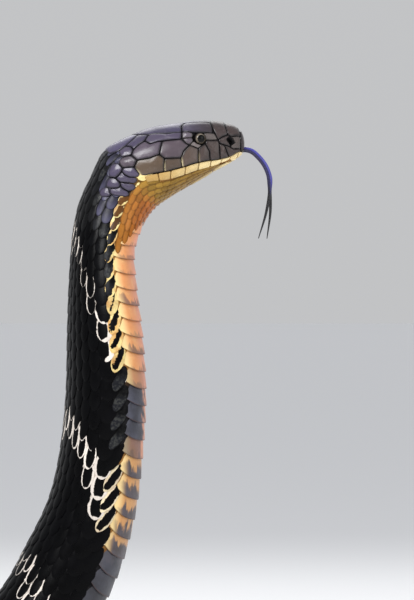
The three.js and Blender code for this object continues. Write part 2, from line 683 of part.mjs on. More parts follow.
const eyeCentre = sunkCentre(EYE_SPOT, EYE_RADIUS, EYE_SHOWN);
const eyeRadii = [EYE_RADIUS, EYE_RADIUS, EYE_RADIUS];
const nostrilCentre = sunkCentre(NOSTRIL_SPOT, 0, 0);
const gap = JOINT_GAP / 2;

addNode('head', 'shields', geometryOf(upperHead()));
addNode('lower_jaw', 'jaw', geometryOf(lowerJaw()));
addNode('eye_right', 'eye', ball(eyeCentre, eyeRadii, 1, EYE_SEGMENTS));
addNode('eye_left', 'eye', ball(eyeCentre, eyeRadii, -1, EYE_SEGMENTS));
addNode('tongue', 'tongue', geometryOf(TINE_TIPS.map(tine).reduce((a, b) => a.add(b), tongueStem(0))));
addNode('hood_upper', 'scales', scuteLength(NAPE + gap, HOOD - gap));
addNode('hood_lower', 'scales', scuteLength(HOOD + gap, RISE_BASE - gap));
addNode('rise', 'scales', scuteLength(RISE_BASE + gap, FOOT - gap));
for (let i = 0; i < TRUNK_NODES; i += 1) {
  const from = lerp(FOOT, VENT, i / TRUNK_NODES) + gap;
  const to = lerp(FOOT, VENT, (i + 1) / TRUNK_NODES) - gap;
  addNode(`trunk_${i + 1}`, 'scales', plainLength(from, to, FLOOR_SIDES, FLOOR_STEP));
}
for (let i = 0; i < TAIL_NODES; i += 1) {
  const from = lerp(VENT, TOTAL_LENGTH, i / TAIL_NODES) + gap;
  const to = lerp(VENT, TOTAL_LENGTH, (i + 1) / TAIL_NODES) - (i + 1 < TAIL_NODES ? gap : 0);
  addNode(`tail_${i + 1}`, 'scales', plainLength(from, to, TAIL_SIDES, TAIL_STEP, 0.5));
}

export default group;
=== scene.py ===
"""A life-size king cobra, rearing, as a still model: skin, scales, head shields, eyes and tongue round the solids.

Lengths are in millimetres until a mesh is made, and in metres after that. A place on the body is its distance behind
the snout tip along the axis. A girth is the distance round the skin from the ridge of the back, down the animal's
right side, or down its left side when it is negative. A height is a girth as a share of that of the scutes' edge.
"""

import logging
import math
from dataclasses import dataclass, field
from enum import Enum

import bpy
import numpy as np
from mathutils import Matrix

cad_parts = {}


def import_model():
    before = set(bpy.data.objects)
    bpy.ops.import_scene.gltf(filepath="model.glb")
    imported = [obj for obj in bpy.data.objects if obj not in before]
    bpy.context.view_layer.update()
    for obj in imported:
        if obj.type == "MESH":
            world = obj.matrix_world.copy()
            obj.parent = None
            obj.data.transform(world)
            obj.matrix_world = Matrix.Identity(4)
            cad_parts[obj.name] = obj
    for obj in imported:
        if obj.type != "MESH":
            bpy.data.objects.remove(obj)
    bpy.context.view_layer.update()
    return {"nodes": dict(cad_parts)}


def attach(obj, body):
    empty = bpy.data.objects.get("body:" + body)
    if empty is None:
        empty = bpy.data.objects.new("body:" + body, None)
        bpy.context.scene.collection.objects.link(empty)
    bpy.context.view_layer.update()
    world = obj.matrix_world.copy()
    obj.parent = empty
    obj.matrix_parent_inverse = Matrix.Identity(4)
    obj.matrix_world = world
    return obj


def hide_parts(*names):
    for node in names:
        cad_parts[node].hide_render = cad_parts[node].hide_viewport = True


Array = np.ndarray
Pair = tuple[float, float]
Triple = tuple[float, float, float]
Colour = Triple
Faces = list[Array]
Table = tuple[tuple[float, ...], ...]
Values = dict[str, Array]
Shape = tuple[Array, Faces, Values]
Piece = bpy.types.Object
Material = bpy.types.Material

MM = 0.001
LOG = logging.getLogger("cobra")

# Where one length of small scales ends and the next begins.
COAT_ENDS = (9, 103, 392, 900, 1500, 2150, 2880, 3588)

# The raised front, from the snout tip back and down. Each row: the edge of the back (behind the tip, above it), the
# edge of the belly (the same), half the width, the height of the widest level (-1 belly to 1 back), and how square
# the upper and the lower half are (2 is an ellipse).
RISE = (
    (0, 1.3, 0, -1.3, 2.4, 0, 2, 2),
    (0.4, 4, 0, -3.8, 5.4, 0, 2.1, 2),
    (1.4, 7, 0.4, -6.2, 7.9, 0, 2.3, 2.1),
    (3.3, 9.3, 1.7, -7.9, 10.2, -0.05, 2.5, 2.2),
    (6.5, 11.3, 4.1, -10, 12.7, -0.1, 2.6, 2.2),
    (10.8, 12.9, 7.6, -12.2, 14.8, -0.15, 2.7, 2.2),
    (15.9, 14, 12, -14.6, 16.6, -0.18, 2.8, 2.2),
    (22.3, 14.5, 17.8, -17.7, 18.2, -0.2, 2.9, 2.2),
    (28.7, 14.4, 23.7, -21.3, 20, -0.2, 2.9, 2.2),
    (35.1, 13.8, 29.7, -24.6, 21.8, -0.2, 2.8, 2.2),
    (41.5, 13, 35.7, -28.1, 23.3, -0.2, 2.6, 2.2),
    (50, 11.8, 43.8, -32.6, 24.8, -0.2, 2.5, 2.2),
    (58.2, 10.4, 46.9, -34.4, 25.5, -0.18, 2.4, 2.2),
    (74.4, 4.2, 50.4, -36.4, 25.2, -0.15, 2.3, 2.2),
    (89.5, -4.8, 54.8, -39.4, 24.2, -0.12, 2.2, 2.2),
    (97.8, -20.5, 58.6, -43.2, 23.8, -0.12, 2.1, 2.2),
    (105.2, -36.8, 62, -47.9, 24.6, -0.15, 2, 2.2),
    (109.1, -53.4, 65.2, -54.4, 26.6, -0.18, 2, 2.3),
    (110.9, -70.7, 69.6, -68.8, 30.5, -0.22, 1.9, 2.4),
    (112.1, -89.9, 68.4, -89.9, 35.5, -0.25, 1.9, 2.4),
    (113.2, -121.9, 64.5, -122.6, 40, -0.25, 1.9, 2.4),
    (114.1, -160.3, 62.4, -162.2, 41, -0.25, 1.9, 2.4),
    (117.3, -192.3, 64.1, -194.2, 39.5, -0.22, 1.9, 2.4),
    (124.7, -225.6, 69.5, -238.4, 37, -0.2, 1.95, 2.4),
    (140.7, -258.9, 84.2, -285.1, 35, -0.18, 2, 2.5),
)

# The body on the floor: place, half width, half height. The first row is the foot of the rise.
GIRTH = (
    (500, 32.5, 29.5), (900, 31.5, 28), (1500, 31.5, 28), (2150, 30, 26.5), (2600, 24.5, 22), (2880, 18.5, 17),
    (3100, 13, 12.2), (3350, 6.8, 6.5), (3520, 3.2, 3.2), (3600, 0.9, 0.9),
)

# The route on the floor: length, and turn seen from above, in degrees, positive to the left of the way it runs.
ROUTE = ((95, 0), (475, -180), (130, 0), (640, -180), (190, 0), (800, -180), (150, 50), (330, -110), (260, 60))

# The mouth line on the side of the head: behind the snout tip, above it.
MOUTH = (
    (0.8, -5.3), (7.6, -8.1), (14.8, -10.2), (22.3, -11.2), (29.5, -12.6), (40.5, -15.9), (50.4, -18.3),
    (60.7, -20.4), (68, -23),
)

# The upper edges of the upper lip shields, from the snout back. Each corner: place, girth.
LIP_TOPS = (
    ((2.5, 20), (7, 25), (12.5, 25.5)),
    ((12.5, 25.5), (15.5, 25.5)),
    ((15.5, 25.5), (16, 23.5), (20, 24.6), (23.7, 25.3), (24.6, 27.9), (22.5, 32.5)),
    ((22.5, 32.5), (24.6, 27.9), (26.8, 29.2), (29.5, 31.5)),
    ((29.5, 31.5), (34.6, 29.4), (39, 33), (41.5, 37.5)),
    ((41.5, 37.5), (52, 37)),
    ((52, 37), (54.5, 34), (60, 34), (67, 31.5), (70.5, 34.5), (70.5, 41)),
)

# Where one lip shield ends and the next begins, on the upper and the lower lip, behind the snout tip.
LIP_CUTS = (2.4, 10.7, 16.5, 23, 30.5, 41.5, 54, 68)
JAW_CUTS = (3.3, 9, 15, 22, 30, 39, 49, 59, 69)

# The other shields of one side of the head. Each corner: place, girth.
SIDE_SHIELDS = {
    "nasal_front": (
        (2, 11), (7, 17), (7.9, 17.4), (6.9, 17.7), (6, 18.6), (5.6, 20), (5.8, 21.4), (6.6, 22.6), (7.7, 23.3),
        (8.6, 23.5), (8.6, 25), (7, 25), (2.5, 20),
    ),
    "nasal_rear": (
        (8.2, 17.3), (9.5, 17.5), (13, 20.5), (16, 23.5), (15.5, 25.5), (12.5, 25.5), (8.9, 25), (8.9, 23.5),
        (9.9, 22.9), (10.6, 21.7), (10.8, 20.2), (10.4, 18.8), (9.4, 17.8),
    ),
    "internasal": ((2.2, 0), (2, 11), (7, 17), (9.5, 17.5), (10.5, 12), (10.5, 0)),
    "prefrontal": (
        (10.5, 0), (10.5, 12), (9.5, 17.5), (13, 20.5), (16, 23.5), (18.5, 16.5), (19.5, 10.5), (19.5, 0),
    ),
    "supraocular": (
        (19.5, 10.5), (18.5, 16.5), (19, 20), (27, 21.2), (32.5, 21.2), (38.5, 20), (38.5, 13.5), (36, 9),
    ),
    "preocular": ((17.7, 19.5), (16, 23.5), (20, 24.6), (23.7, 25.3), (24, 23), (25, 21.2), (22.5, 20.6)),
    "postocular_high": ((38.5, 20), (32.5, 21.2), (31.6, 22.1), (32.3, 24.6), (39, 24.7)),
    "postocular_middle": ((39, 24.7), (32.3, 24.6), (31.9, 26.8), (34.6, 29.4), (37, 28.3)),
    "postocular_low": ((31.9, 26.8), (30, 28.4), (26.8, 29.2), (29.5, 31.5), (34.6, 29.4)),
    "parietal": ((42, 0), (36, 9), (38.5, 13.5), (38.5, 20), (49.5, 19.5), (57, 17), (61, 11.5), (64, 0)),
    "occipital": ((64, 0), (61, 11.5), (64, 15), (68, 17.5), (72, 18.5), (75.8, 15), (75.8, 0)),
    "upper_temporal_front": (
        (38.5, 20), (39.5, 25), (47, 25), (57.5, 25), (59.5, 21), (57, 17), (49.5, 19.5),
    ),
    "upper_temporal_rear": (
        (57, 17), (59.5, 21), (61.5, 21.5), (65.7, 23.5), (66, 20), (68, 17.5), (64, 15), (61, 11.5),
    ),
    "temporal_front": (
        (39.5, 25), (37, 28.3), (35, 29.5), (39, 33), (41.5, 37.5), (52, 37), (54.5, 34), (53, 29.7), (51.5, 25.3),
    ),
    "temporal_rear": (
        (51.5, 25.3), (53, 29.7), (54.5, 34), (60, 34), (67, 31.5), (68, 26.5), (65.7, 23.5), (61.5, 21.5),
        (59.5, 21), (57.5, 25),
    ),
    "nape_high": ((66, 20), (65.7, 23.5), (68, 26.5), (72.7, 24), (72, 18.5), (68, 17.5)),
    "nape_middle": ((68, 26.5), (67, 31.5), (70.5, 34.5), (75.8, 30.5), (75.6, 25.5), (72.7, 24)),
    "nape_low": ((75.8, 30.5), (70.5, 34.5), (70.5, 41), (73.5, 41.2), (76.8, 38), (77.8, 34.5), (77.6, 31.2)),
    "neck_1_high": (
        (75.6, 25.5), (75.8, 30.5), (77.6, 31.2), (79.8, 31), (82.6, 29.4), (84.2, 25), (83.4, 23.2), (79.3, 22.2),
        (77, 23.4),
    ),
    "neck_1_low": (
        (79.8, 31), (77.6, 31.2), (77.8, 34.5), (76.8, 38), (73.5, 41.2), (74.5, 43.2), (77.6, 43), (81.2, 37.2),
        (83, 33.2), (82.6, 29.4),
    ),
    "neck_2_high": ((84.2, 25), (82.6, 29.4), (83, 33.2), (84.6, 34.6), (86.6, 33), (89, 28.2), (89, 25), (86.4, 24)),
    "neck_2_low": (
        (83, 33.2), (81.2, 37.2), (77.6, 43), (78.4, 45), (81.6, 44.2), (84.6, 40.6), (85, 37), (84.6, 34.6),
    ),
    "neck_3_low": (
        (89, 28.2), (86.6, 33), (84.6, 34.6), (85, 37), (84.6, 40.6), (86.4, 42), (88.6, 40.4), (91, 34.6),
        (91.6, 31.4), (90.8, 29.2),
    ),
    "neck_3_high": (
        (89, 25), (89, 28.2), (90.8, 29.2), (91.6, 31.4), (93.8, 29.6), (95, 25.4), (94, 22.8), (91.4, 22.2),
    ),
}

# How much paler some small shields are painted: partly their own paler colour, partly a painted highlight.
GLOWS = {"postocular_low": 0.7, "postocular_high": 0.35, "preocular": 0.4, "nasal_front": 0.3, "postocular_middle": 0.2}

# The one shield between those of the two sides.
FRONTAL = ((19.5, -10.5), (19.5, 10.5), (36, 9), (42, 0), (36, -9))

# The two pairs of chin shields. Each corner: place, distance from the middle of the belly.
CHIN_SHIELDS = (
    ((7.3, 0), (8.6, 4.9), (13, 8.6), (21.5, 9), (23, 0.1)),
    ((23.4, 0.3), (21.9, 9), (28, 10), (38, 8.6), (37, 4)),
)


class Side(Enum):
    """The two sides of the animal, with the sign that a girth has there."""

    RIGHT = 1
    LEFT = -1


class Slot(Enum):
    """The record's material slots."""

    SHIELDS = "head_shields"
    JAW = "jaw_scales"
    EYE = "eye"
    TONGUE = "tongue"
    BODY = "body_scales"


def srgb(red: float, green: float, blue: float) -> Colour:
    """Turns a colour as a screen shows it, 0 to 255 each, into linear light, by a power of 2.2."""
    return tuple((value / 255.0) ** 2.2 for value in (red, green, blue))


def smooth(low: float | Array, high: float | Array, value: Array) -> Array:
    """Rises from 0 at low to 1 at high with level ends: t squared times (3 - 2 t), with t the share of the way."""
    t = np.clip((value - low) / (high - low), 0.0, 1.0)
    return t * t * (3.0 - 2.0 * t)


def between(low: float, full: float, fade: float, end: float, value: Array) -> Array:
    """Rises from low to full, stays 1, and falls from fade to end."""
    return smooth(low, full, value) * (1 - smooth(fade, end, value))


def bell(value: Array, middle: float | Array, width: float | Array) -> Array:
    """A bell curve, 1 in the middle: e to the power of minus the squared distance over the squared width."""
    return np.exp(-(((value - middle) / width) ** 2))


def unit(vectors: Array) -> Array:
    """Scales vectors to length 1."""
    return vectors / np.maximum(np.linalg.norm(vectors, axis=-1, keepdims=True), 1e-9)


def read_off(table: Table, place: Array) -> Array:
    """Reads a table of places and numbers between its rows, in proportion."""
    return np.interp(place, *np.array(table, float).T)


def way_along(points: Array) -> Array:
    """The way from the first of a line of points to each of them."""
    return np.concatenate([[0.0], np.cumsum(np.linalg.norm(np.diff(points, axis=0), axis=1))])


def bracket(places: Array, place: Array) -> tuple[Array, Array]:
    """The row of rising places before each place, and the share of the way from it to the next row."""
    i = np.clip(np.searchsorted(places, place) - 1, 0, len(places) - 2)
    return i, np.clip((place - places[i]) / (places[i + 1] - places[i]), 0.0, 1.0)


def smooth_rows(places: Array, rows: Array, wanted: Array) -> Array:
    """A smooth curve through rows of values: a cubic between two rows, with slopes taken from each row's neighbours.

    Args:
        places: Rising places of the rows.
        rows: One row of values for each place.
        wanted: Places where the curve is wanted.

    Returns:
        One row of values for each wanted place.
    """
    steps = np.diff(places)[:, None]
    secants = np.diff(rows, axis=0) / steps
    share = steps[:-1] / (steps[:-1] + steps[1:])
    slopes = np.vstack([secants[:1], secants[:-1] + (secants[1:] - secants[:-1]) * share, secants[-1:]])
    i, t = bracket(places, wanted)
    t, start = t[:, None], ((1 + 2 * t) * (1 - t) ** 2)[:, None]
    bend = t * (1 - t) * steps[i]
    return start * rows[i] + (1 - start) * rows[i + 1] + bend * ((1 - t) * slopes[i] - t * slopes[i + 1])


def inside(corners: Array, x: Array, y: Array) -> Array:
    """Tells which points lie in a closed outline: those from which a ray crosses its edges an odd number of times.

    Args:
        corners: The outline's corners.
        x: First coordinate of each point.
        y: Second coordinate of each point.

    Returns:
        True for each point inside.
    """
    hit = np.zeros(x.shape, bool)
    for (x0, y0), (x1, y1) in zip(corners, np.roll(corners, -1, axis=0)):
        if y0 != y1:
            hit ^= ((y0 > y) != (y1 > y)) & (x < x0 + (y - y0) * (x1 - x0) / (y1 - y0))
    return hit


@dataclass
class Body:
    """The shape of the whole animal as dense tables over the place, the same shape that the solids have."""

    total_length: float = 3600.0
    tip_forward: float = 293.2
    tip_height: float = 398.0
    foot_forward: float = 30.0
    foot_radius: float = 166.4
    foot_lean: Pair = (25.0, 90.0)
    foot_steps: int = 6
    belly_flat: float = 1.05
    floor_shape: Triple = (-0.18, 2.1, 2.6)
    route_step: float = 2.0
    route_ease: float = 70.0
    # first place, last place and distance of the sections
    runs: Table = ((0, 6, 0.05), (6, 560, 0.5), (560, 3600, 2))
    angles: int = 145
    shares: int = 121
    round_step: float = 0.35
    along_step: float = 0.2
    polar_reach: float = 12.0
    mouth_reach: float = 120.0
    front_angles: int = 181
    places: Array = field(init=False)
    table: Array = field(init=False)

    def __post_init__(self) -> None:
        """Works out the tables."""
        rows, row_places = self.rise_rows()
        self.foot = float(row_places[-2])
        self.places = np.concatenate([*(np.arange(*run) for run in self.runs), [self.total_length]])
        raised = self.places <= self.foot
        risen = self.raised_sections(smooth_rows(row_places, rows, self.places[raised]))
        self.table = np.vstack([risen, self.floor_sections(self.places[~raised])])
        self.measure_girths()
        self.close_lip(*self.mouth_line())
        self.polar_places = np.concatenate([np.linspace(-1, 0, 5)[:-1], self.places[self.places < self.polar_reach]])
        self.radii = way_along(self.at_angle(self.polar_places, np.full(len(self.polar_places), math.pi / 2)))

    def rise_rows(self) -> tuple[Array, Array]:
        """The rows of the raised front and of the bend at its foot, in the row's frame, and their places.

        The bend is an arc about a centre above the floor: the axis is the centre less the radius along the body's
        own up direction, and back and belly lie half a depth from it.

        Returns:
            The rows, and the length of the axis up to each.
        """
        rows = np.array(RISE)
        rows[:, [0, 2]] = self.tip_forward - rows[:, [0, 2]]
        rows[:, [1, 3]] += self.tip_height
        top = rows[-1]
        _, foot_width, foot_depth = GIRTH[0]
        t = np.arange(1, self.foot_steps + 2) / self.foot_steps
        share = np.minimum(t, 1.0)
        start, turn = self.foot_lean[0], self.foot_lean[1] - self.foot_lean[0]
        lean = np.radians(start + turn * share)
        top_depth = math.hypot(top[0] - top[2], top[1] - top[3]) / 2
        depth = top_depth + (foot_depth - top_depth) * share
        up = np.stack([-np.cos(lean), np.sin(lean)], 1)
        axis = np.array([self.foot_forward, self.foot_radius + foot_depth]) - self.foot_radius * up
        axis[:, 0] -= (t - share) * math.radians(turn) * self.foot_radius
        shape = top[4:] + (np.array([foot_width, *self.floor_shape]) - top[4:]) * share[:, None]
        rows = np.vstack([rows, np.hstack([axis + depth[:, None] * up, axis - depth[:, None] * up, shape])])
        return rows, way_along((rows[:, :2] + rows[:, 2:4]) / 2)

    def raised_sections(self, rows: Array) -> Array:
        """Turns rows of the raised front into sections.

        Args:
            rows: Back, belly and shape at each place.

        Returns:
            Centre, right, up, half width, half depth, middle, upper and lower squareness: 14 columns.
        """
        back, belly = rows[:, 0:2], rows[:, 2:4]
        zero, centre, up = np.zeros(len(rows)), (back + belly) / 2, unit(back - belly)
        depth = np.linalg.norm(back - belly, axis=1) / 2
        columns = [centre[:, 0], zero, centre[:, 1], zero, zero - 1, zero, up[:, 0], zero, up[:, 1]]
        return np.stack([*columns, rows[:, 4], depth, *rows[:, 5:8].T], 1)

    def floor_sections(self, places: Array) -> Array:
        """Sections of the body on the floor, on a route summed from bends that a running mean eases together.

        Args:
            places: The places of the sections.

        Returns:
            The same columns as for the raised front.
        """
        step = self.route_step
        count = math.ceil((self.total_length - self.foot) / step)
        reach = round(self.route_ease / 2 / step)
        ends = np.cumsum([run for run, _ in ROUTE])
        bends = np.array([math.radians(turn) / run for run, turn in ROUTE] + [0.0])
        middles = (np.arange(-reach, count + reach) + 0.5) * step
        raw = np.where(middles < 0, 0.0, bends[np.searchsorted(ends, middles, side="right")])
        eased = np.convolve(raw, np.ones(2 * reach + 1) / (2 * reach + 1), "valid")[:count]
        headings = math.pi + np.concatenate([[0.0], np.cumsum(eased * step)])
        course = headings[:-1] + np.diff(headings) / 2
        run = np.cumsum(step * np.stack([np.cos(course), np.sin(course)], 1), axis=0)
        x, y = (np.vstack([[0.0, 0.0], run]) + [self.foot_forward, 0.0]).T
        behind = np.arange(count + 1) * step
        x, y, heading = (np.interp(places - self.foot, behind, value) for value in (x, y, headings))
        table = np.array(GIRTH, float)
        table[0, 0] = self.foot
        width, depth = smooth_rows(table[:, 0], table[:, 1:], places).T
        zero = np.zeros(len(places))
        columns = [x, y, depth, -np.sin(heading), np.cos(heading), zero, zero, zero, zero + 1]
        return np.stack([*columns, width, depth, *(zero + value for value in self.floor_shape)], 1)

    def section(self, place: Array) -> Array:
        """The section at each place, from the table: 14 columns."""
        i, t = bracket(self.places, np.clip(place, 0, self.total_length))
        return (1 - t)[..., None] * self.table[i] + t[..., None] * self.table[i + 1]

    def at_angle(self, place: Array, angle: Array) -> Array:
        """Points of the skin at an angle round the section, 0 at the ridge of the back, a quarter turn on the right.

        Across, the point is at the sine to the power of 2 over the squareness, times half the width. Up, it rises
        from the widest level by the cosine to that power, and the belly is cut off flat. Ahead of the snout tip the
        section shrinks into its centre.

        Args:
            place: Place of each point, down to -1 at the very tip.
            angle: Angle of each point in radians.

        Returns:
            The points.
        """
        rows = self.section(place)
        centre, right, up = rows[..., 0:3], rows[..., 3:6], rows[..., 6:9]
        width, depth, middle, upper, lower = np.moveaxis(rows[..., 9:], -1, 0)
        cosine, sine = np.cos(angle), np.sin(angle)
        power = 2 / np.where(cosine >= 0, upper, lower)
        across = np.sign(sine) * np.abs(sine) ** power
        high = np.abs(cosine) ** power
        low = np.maximum(middle - (1 + middle) * self.belly_flat * high, -1.0)
        level = np.where(cosine >= 0, middle + (1 - middle) * high, low)
        shrink = 1 + np.minimum(place, 0.0)
        return centre + right * (across * width * shrink)[..., None] + up * (level * depth * shrink)[..., None]

    def measure_girths(self) -> None:
        """Sums the way round each section, and turns it about into the angle at even shares of that way."""
        angles = np.linspace(0, math.pi, self.angles)
        points = self.at_angle(*np.meshgrid(self.places, angles, indexing="ij"))
        steps = np.linalg.norm(np.diff(points, axis=1), axis=2)
        self.girths = np.hstack([np.zeros((len(steps), 1)), np.cumsum(steps, axis=1)])
        self.half = self.girths[:, -1]
        shares = np.linspace(0, 1, self.shares)
        self.share_angles = np.array([np.interp(shares * row[-1], row, angles) for row in self.girths])

    def to_polar(self, place: Array, girth: Array) -> Array:
        """Flat coordinates about the snout tip: the way from the tip times the cosine and the sine of the angle."""
        radius, angle = np.interp(place, self.polar_places, self.radii), self.angle_of(place, girth)
        return np.stack([radius * np.cos(angle), radius * np.sin(angle)], -1)

    def from_polar(self, spots: Array) -> tuple[Array, Array]:
        """Turns flat coordinates about the snout tip back.

        Args:
            spots: The coordinates.

        Returns:
            Place and girth of each.
        """
        place = np.interp(np.hypot(spots[:, 0], spots[:, 1]), self.radii, self.polar_places)
        angle = np.arctan2(spots[:, 1], spots[:, 0])
        return place, np.sign(angle) * self.girth_of(np.maximum(place, 0), np.abs(angle))

    def half_girth(self, place: Array) -> Array:
        """The way round from the ridge to the middle of the belly at each place."""
        return np.interp(place, self.places, self.half)

    def lookup(self, table: Array, place: Array, column: Array) -> Array:
        """Reads a table over places and columns between its entries, in proportion both ways.

        Args:
            table: A row for each of the body's places.
            place: Places.
            column: Columns, with fractions.

        Returns:
            The values.
        """
        i, t = bracket(self.places, place)
        j = np.clip(column.astype(int), 0, table.shape[1] - 2)
        near, far = (table[k, j] + (table[k, j + 1] - table[k, j]) * (column - j) for k in (i, i + 1))
        return near * (1 - t) + far * t

    def angle_of(self, place: Array, girth: Array) -> Array:
        """The angle at a girth. A girth past the middle of the belly goes on up the other side.

        Args:
            place: Place of each point.
            girth: Girth of each.

        Returns:
            The angles in radians.
        """
        share = np.abs(girth) / self.half_girth(place)
        angle = self.lookup(self.share_angles, place, np.where(share > 1, 2 - share, share) * (self.shares - 1))
        return np.sign(girth) * np.where(share > 1, 2 * math.pi - angle, angle)

    def girth_of(self, place: Array, angle: Array) -> Array:
        """The girth at an angle from 0 to a half turn."""
        return self.lookup(self.girths, place, angle / math.pi * (self.angles - 1))

    def mouth_line(self) -> tuple[Array, Array]:
        """The places and girths of the mouth line, each found where a section's plane passes through its point.

        Returns:
            Places, and girths there.
        """
        rows = self.table[self.places < self.mouth_reach]
        centre, up, depth = rows[:, [0, 2]], rows[:, [6, 8]], rows[:, 10]
        found, angles = [], []
        for behind, above in MOUTH:
            offset = np.array([self.tip_forward - behind, self.tip_height + above]) - centre
            ahead = offset[:, 0] * up[:, 1] - offset[:, 1] * up[:, 0]
            i = int(np.argmax(ahead > 0))
            t = ahead[i - 1] / (ahead[i - 1] - ahead[i])
            near, far = (offset[i - 1 : i + 1] * up[i - 1 : i + 1]).sum(axis=1) / depth[i - 1 : i + 1]
            middle, lower = rows[i, 11], rows[i, 13]
            low = (middle - near * (1 - t) - far * t) / ((1 + middle) * self.belly_flat)
            angles.append(math.pi - math.acos(min(low, 1.0) ** (lower / 2)))
            found.append(self.places[i - 1] * (1 - t) + self.places[i] * t)
        return np.array(found), self.girth_of(np.array(found), np.array(angles))

    def close_lip(self, places: Array, girths: Array) -> None:
        """Sets the table of the mouth line's girth, level behind its end and closed round the front of the snout.

        In front of its first point the line keeps its height, and ends where it meets the middle of the belly.

        Args:
            places: Places of the line's points.
            girths: Girths there.
        """
        self.lip_girths = smooth_rows(places, girths[:, None], self.places)[:, 0]
        front = self.places[self.places < places[0]]
        level = self.tip_height + MOUTH[0][1]
        angles = np.linspace(math.pi / 2, math.pi, self.front_angles)
        heights = self.at_angle(*np.meshgrid(front, angles, indexing="ij"))[..., 2]
        angle = np.array([np.interp(-level, -row, angles) for row in heights])
        self.lip_girths[: len(front)] = self.girth_of(front, angle)
        self.gap_place = float(front[heights[:, -1] < level][0])

    def lip(self, place: Array) -> Array:
        """The girth of the mouth line at each place."""
        return np.interp(place, self.places, self.lip_girths)

    def form(self, place: Array, girth: Array) -> Array:
        """Gentle forms of the head that skin and shields share, as a distance out of the plain shape.

        The lower jaw is a little narrower than the lip over it, the brow stands out over the eye, the side of the
        snout is hollow before it, the nostril is swollen, the cheek is full, and the throat folds behind the jaw.

        Args:
            place: Place of each point.
            girth: Girth of each.

        Returns:
            The distances.
        """
        g = np.abs(girth)
        out = -0.9 * smooth(0.0, 1.6, g - self.lip(place)) * (1 - smooth(70, 95, place)) * (1 - smooth(20, 75, place))
        out += 0.75 * bell(g, 20.3, 2.2) * between(17, 22, 34, 41, place)
        swellings = ((-0.7, 23.5, 5, 16.5, 5), (0.4, 20.8, 4, 8, 3.6), (0.5, 33, 7, 53, 13))
        for high, at_girth, wide, at_place, long in swellings:
            out += high * bell(g, at_girth, wide) * bell(place, at_place, long)
        return out + 0.35 * np.sin(place * 0.9 + g * 0.12) * smooth(52, 66, g) * bell(place, 84, 15)

    def surface(self, place: Array, girth: Array, lift: Array | float = 0.0) -> Array:
        """Points at a place and girth, moved out by the head's forms and a lift along the skin's own normal.

        The normal is the cross product of the ways along and round, each the difference of two near points.

        Args:
            place: Place of each point.
            girth: Girth of each point.
            lift: Distance out of the plain shape.

        Returns:
            The points in millimetres.
        """
        place, girth, lift = np.broadcast_arrays(place, girth, lift)
        ahead = np.maximum(place - self.along_step, -1.0)
        behind = np.minimum(place + self.along_step, self.total_length)
        steps = (-self.round_step, 0.0, self.round_step)
        left, angle, right = (self.angle_of(np.maximum(place, 0), girth + step) for step in steps)
        along = self.at_angle(behind, angle) - self.at_angle(ahead, angle)
        normal = unit(np.cross(along, self.at_angle(place, right) - self.at_angle(place, left)))
        return self.at_angle(place, angle) + normal * (lift + self.form(place, girth))[..., None]


def link(name: str, data: object) -> Piece:
    """Puts data into the scene as a new object.

    Args:
        name: Name of the object.
        data: Its mesh, light or camera.

    Returns:
        The object.
    """
    thing = bpy.data.objects.new(name, data)
    bpy.context.scene.collection.objects.link(thing)
    return thing


def make_mesh(name: str, points: Array, faces: Faces, values: Values, sharp: float = 180.0) -> Piece:
    """Puts arrays into a new mesh object.

    Args:
        name: Name of the piece.
        points: Points in millimetres.
        faces: Arrays of faces, each of one number of corners.
        values: The points' numbers under each attribute's name, with u and v for the map named OFBake.
        sharp: Edges sharper than this, in degrees, stay sharp.

    Returns:
        The object, at the origin, in metres.
    """
    mesh = bpy.data.meshes.new(name)
    flat = {key: np.broadcast_to(value, points.shape[:-1]).astype(np.float32).ravel() for key, value in values.items()}
    unwrap = np.stack([flat.pop("u"), flat.pop("v")], 1)
    mesh.vertices.add(len(unwrap))
    mesh.vertices.foreach_set("co", (points * MM).astype(np.float32).ravel())
    corners = np.concatenate([group.ravel() for group in faces]).astype(np.int32)
    counts = np.concatenate([np.full(len(group), group.shape[1]) for group in faces])
    mesh.loops.add(len(corners))
    mesh.loops.foreach_set("vertex_index", corners)
    mesh.polygons.add(len(counts))
    mesh.polygons.foreach_set("loop_start", (np.cumsum(counts) - counts).astype(np.int32))
    mesh.polygons.foreach_set("use_smooth", np.ones(len(counts), bool))
    mesh.update(calc_edges=True)
    mesh.uv_layers.new(name="OFBake").data.foreach_set("uv", unwrap[corners].ravel())
    for key, numbers in flat.items():
        mesh.attributes.new(key, "FLOAT", "POINT").data.foreach_set("value", numbers)
    if sharp < 180:
        mesh.set_sharp_from_angle(angle=math.radians(sharp))
    LOG.info("%s: %d points, %d triangles", name, len(unwrap), int((counts - 2).sum()))
    return link(name, mesh)


def grid_faces(index: Array) -> Array:
    """Faces between the neighbours in a grid of points' numbers, four corners for each."""
    return np.stack([index[:-1, :-1], index[:-1, 1:], index[1:, 1:], index[1:, :-1]], -1).reshape(-1, 4)


def fan(point: int, ring: Array) -> Array:
    """Triangles from a point to each pair of neighbours in a row of points."""
    return np.stack([np.full(len(ring) - 1, point), ring[:-1], ring[1:]], 1)


def tube_faces(rows: int, columns: int, turned: bool) -> Faces:
    """Faces of rings of points, closed by two points that follow them, one for the first ring and one for the last.

    Args:
        rows: Number of rings.
        columns: Number of points in a ring.
        turned: Whether the faces are turned about.

    Returns:
        The quads and the triangles.
    """
    index = np.arange(rows * columns).reshape(rows, columns)
    index = np.hstack([index, index[:, :1]])
    fans = np.vstack([fan(rows * columns, index[0, ::-1]), fan(rows * columns + 1, index[-1])])
    return [group[:, :: -1 if turned else 1] for group in (grid_faces(index), fans)]


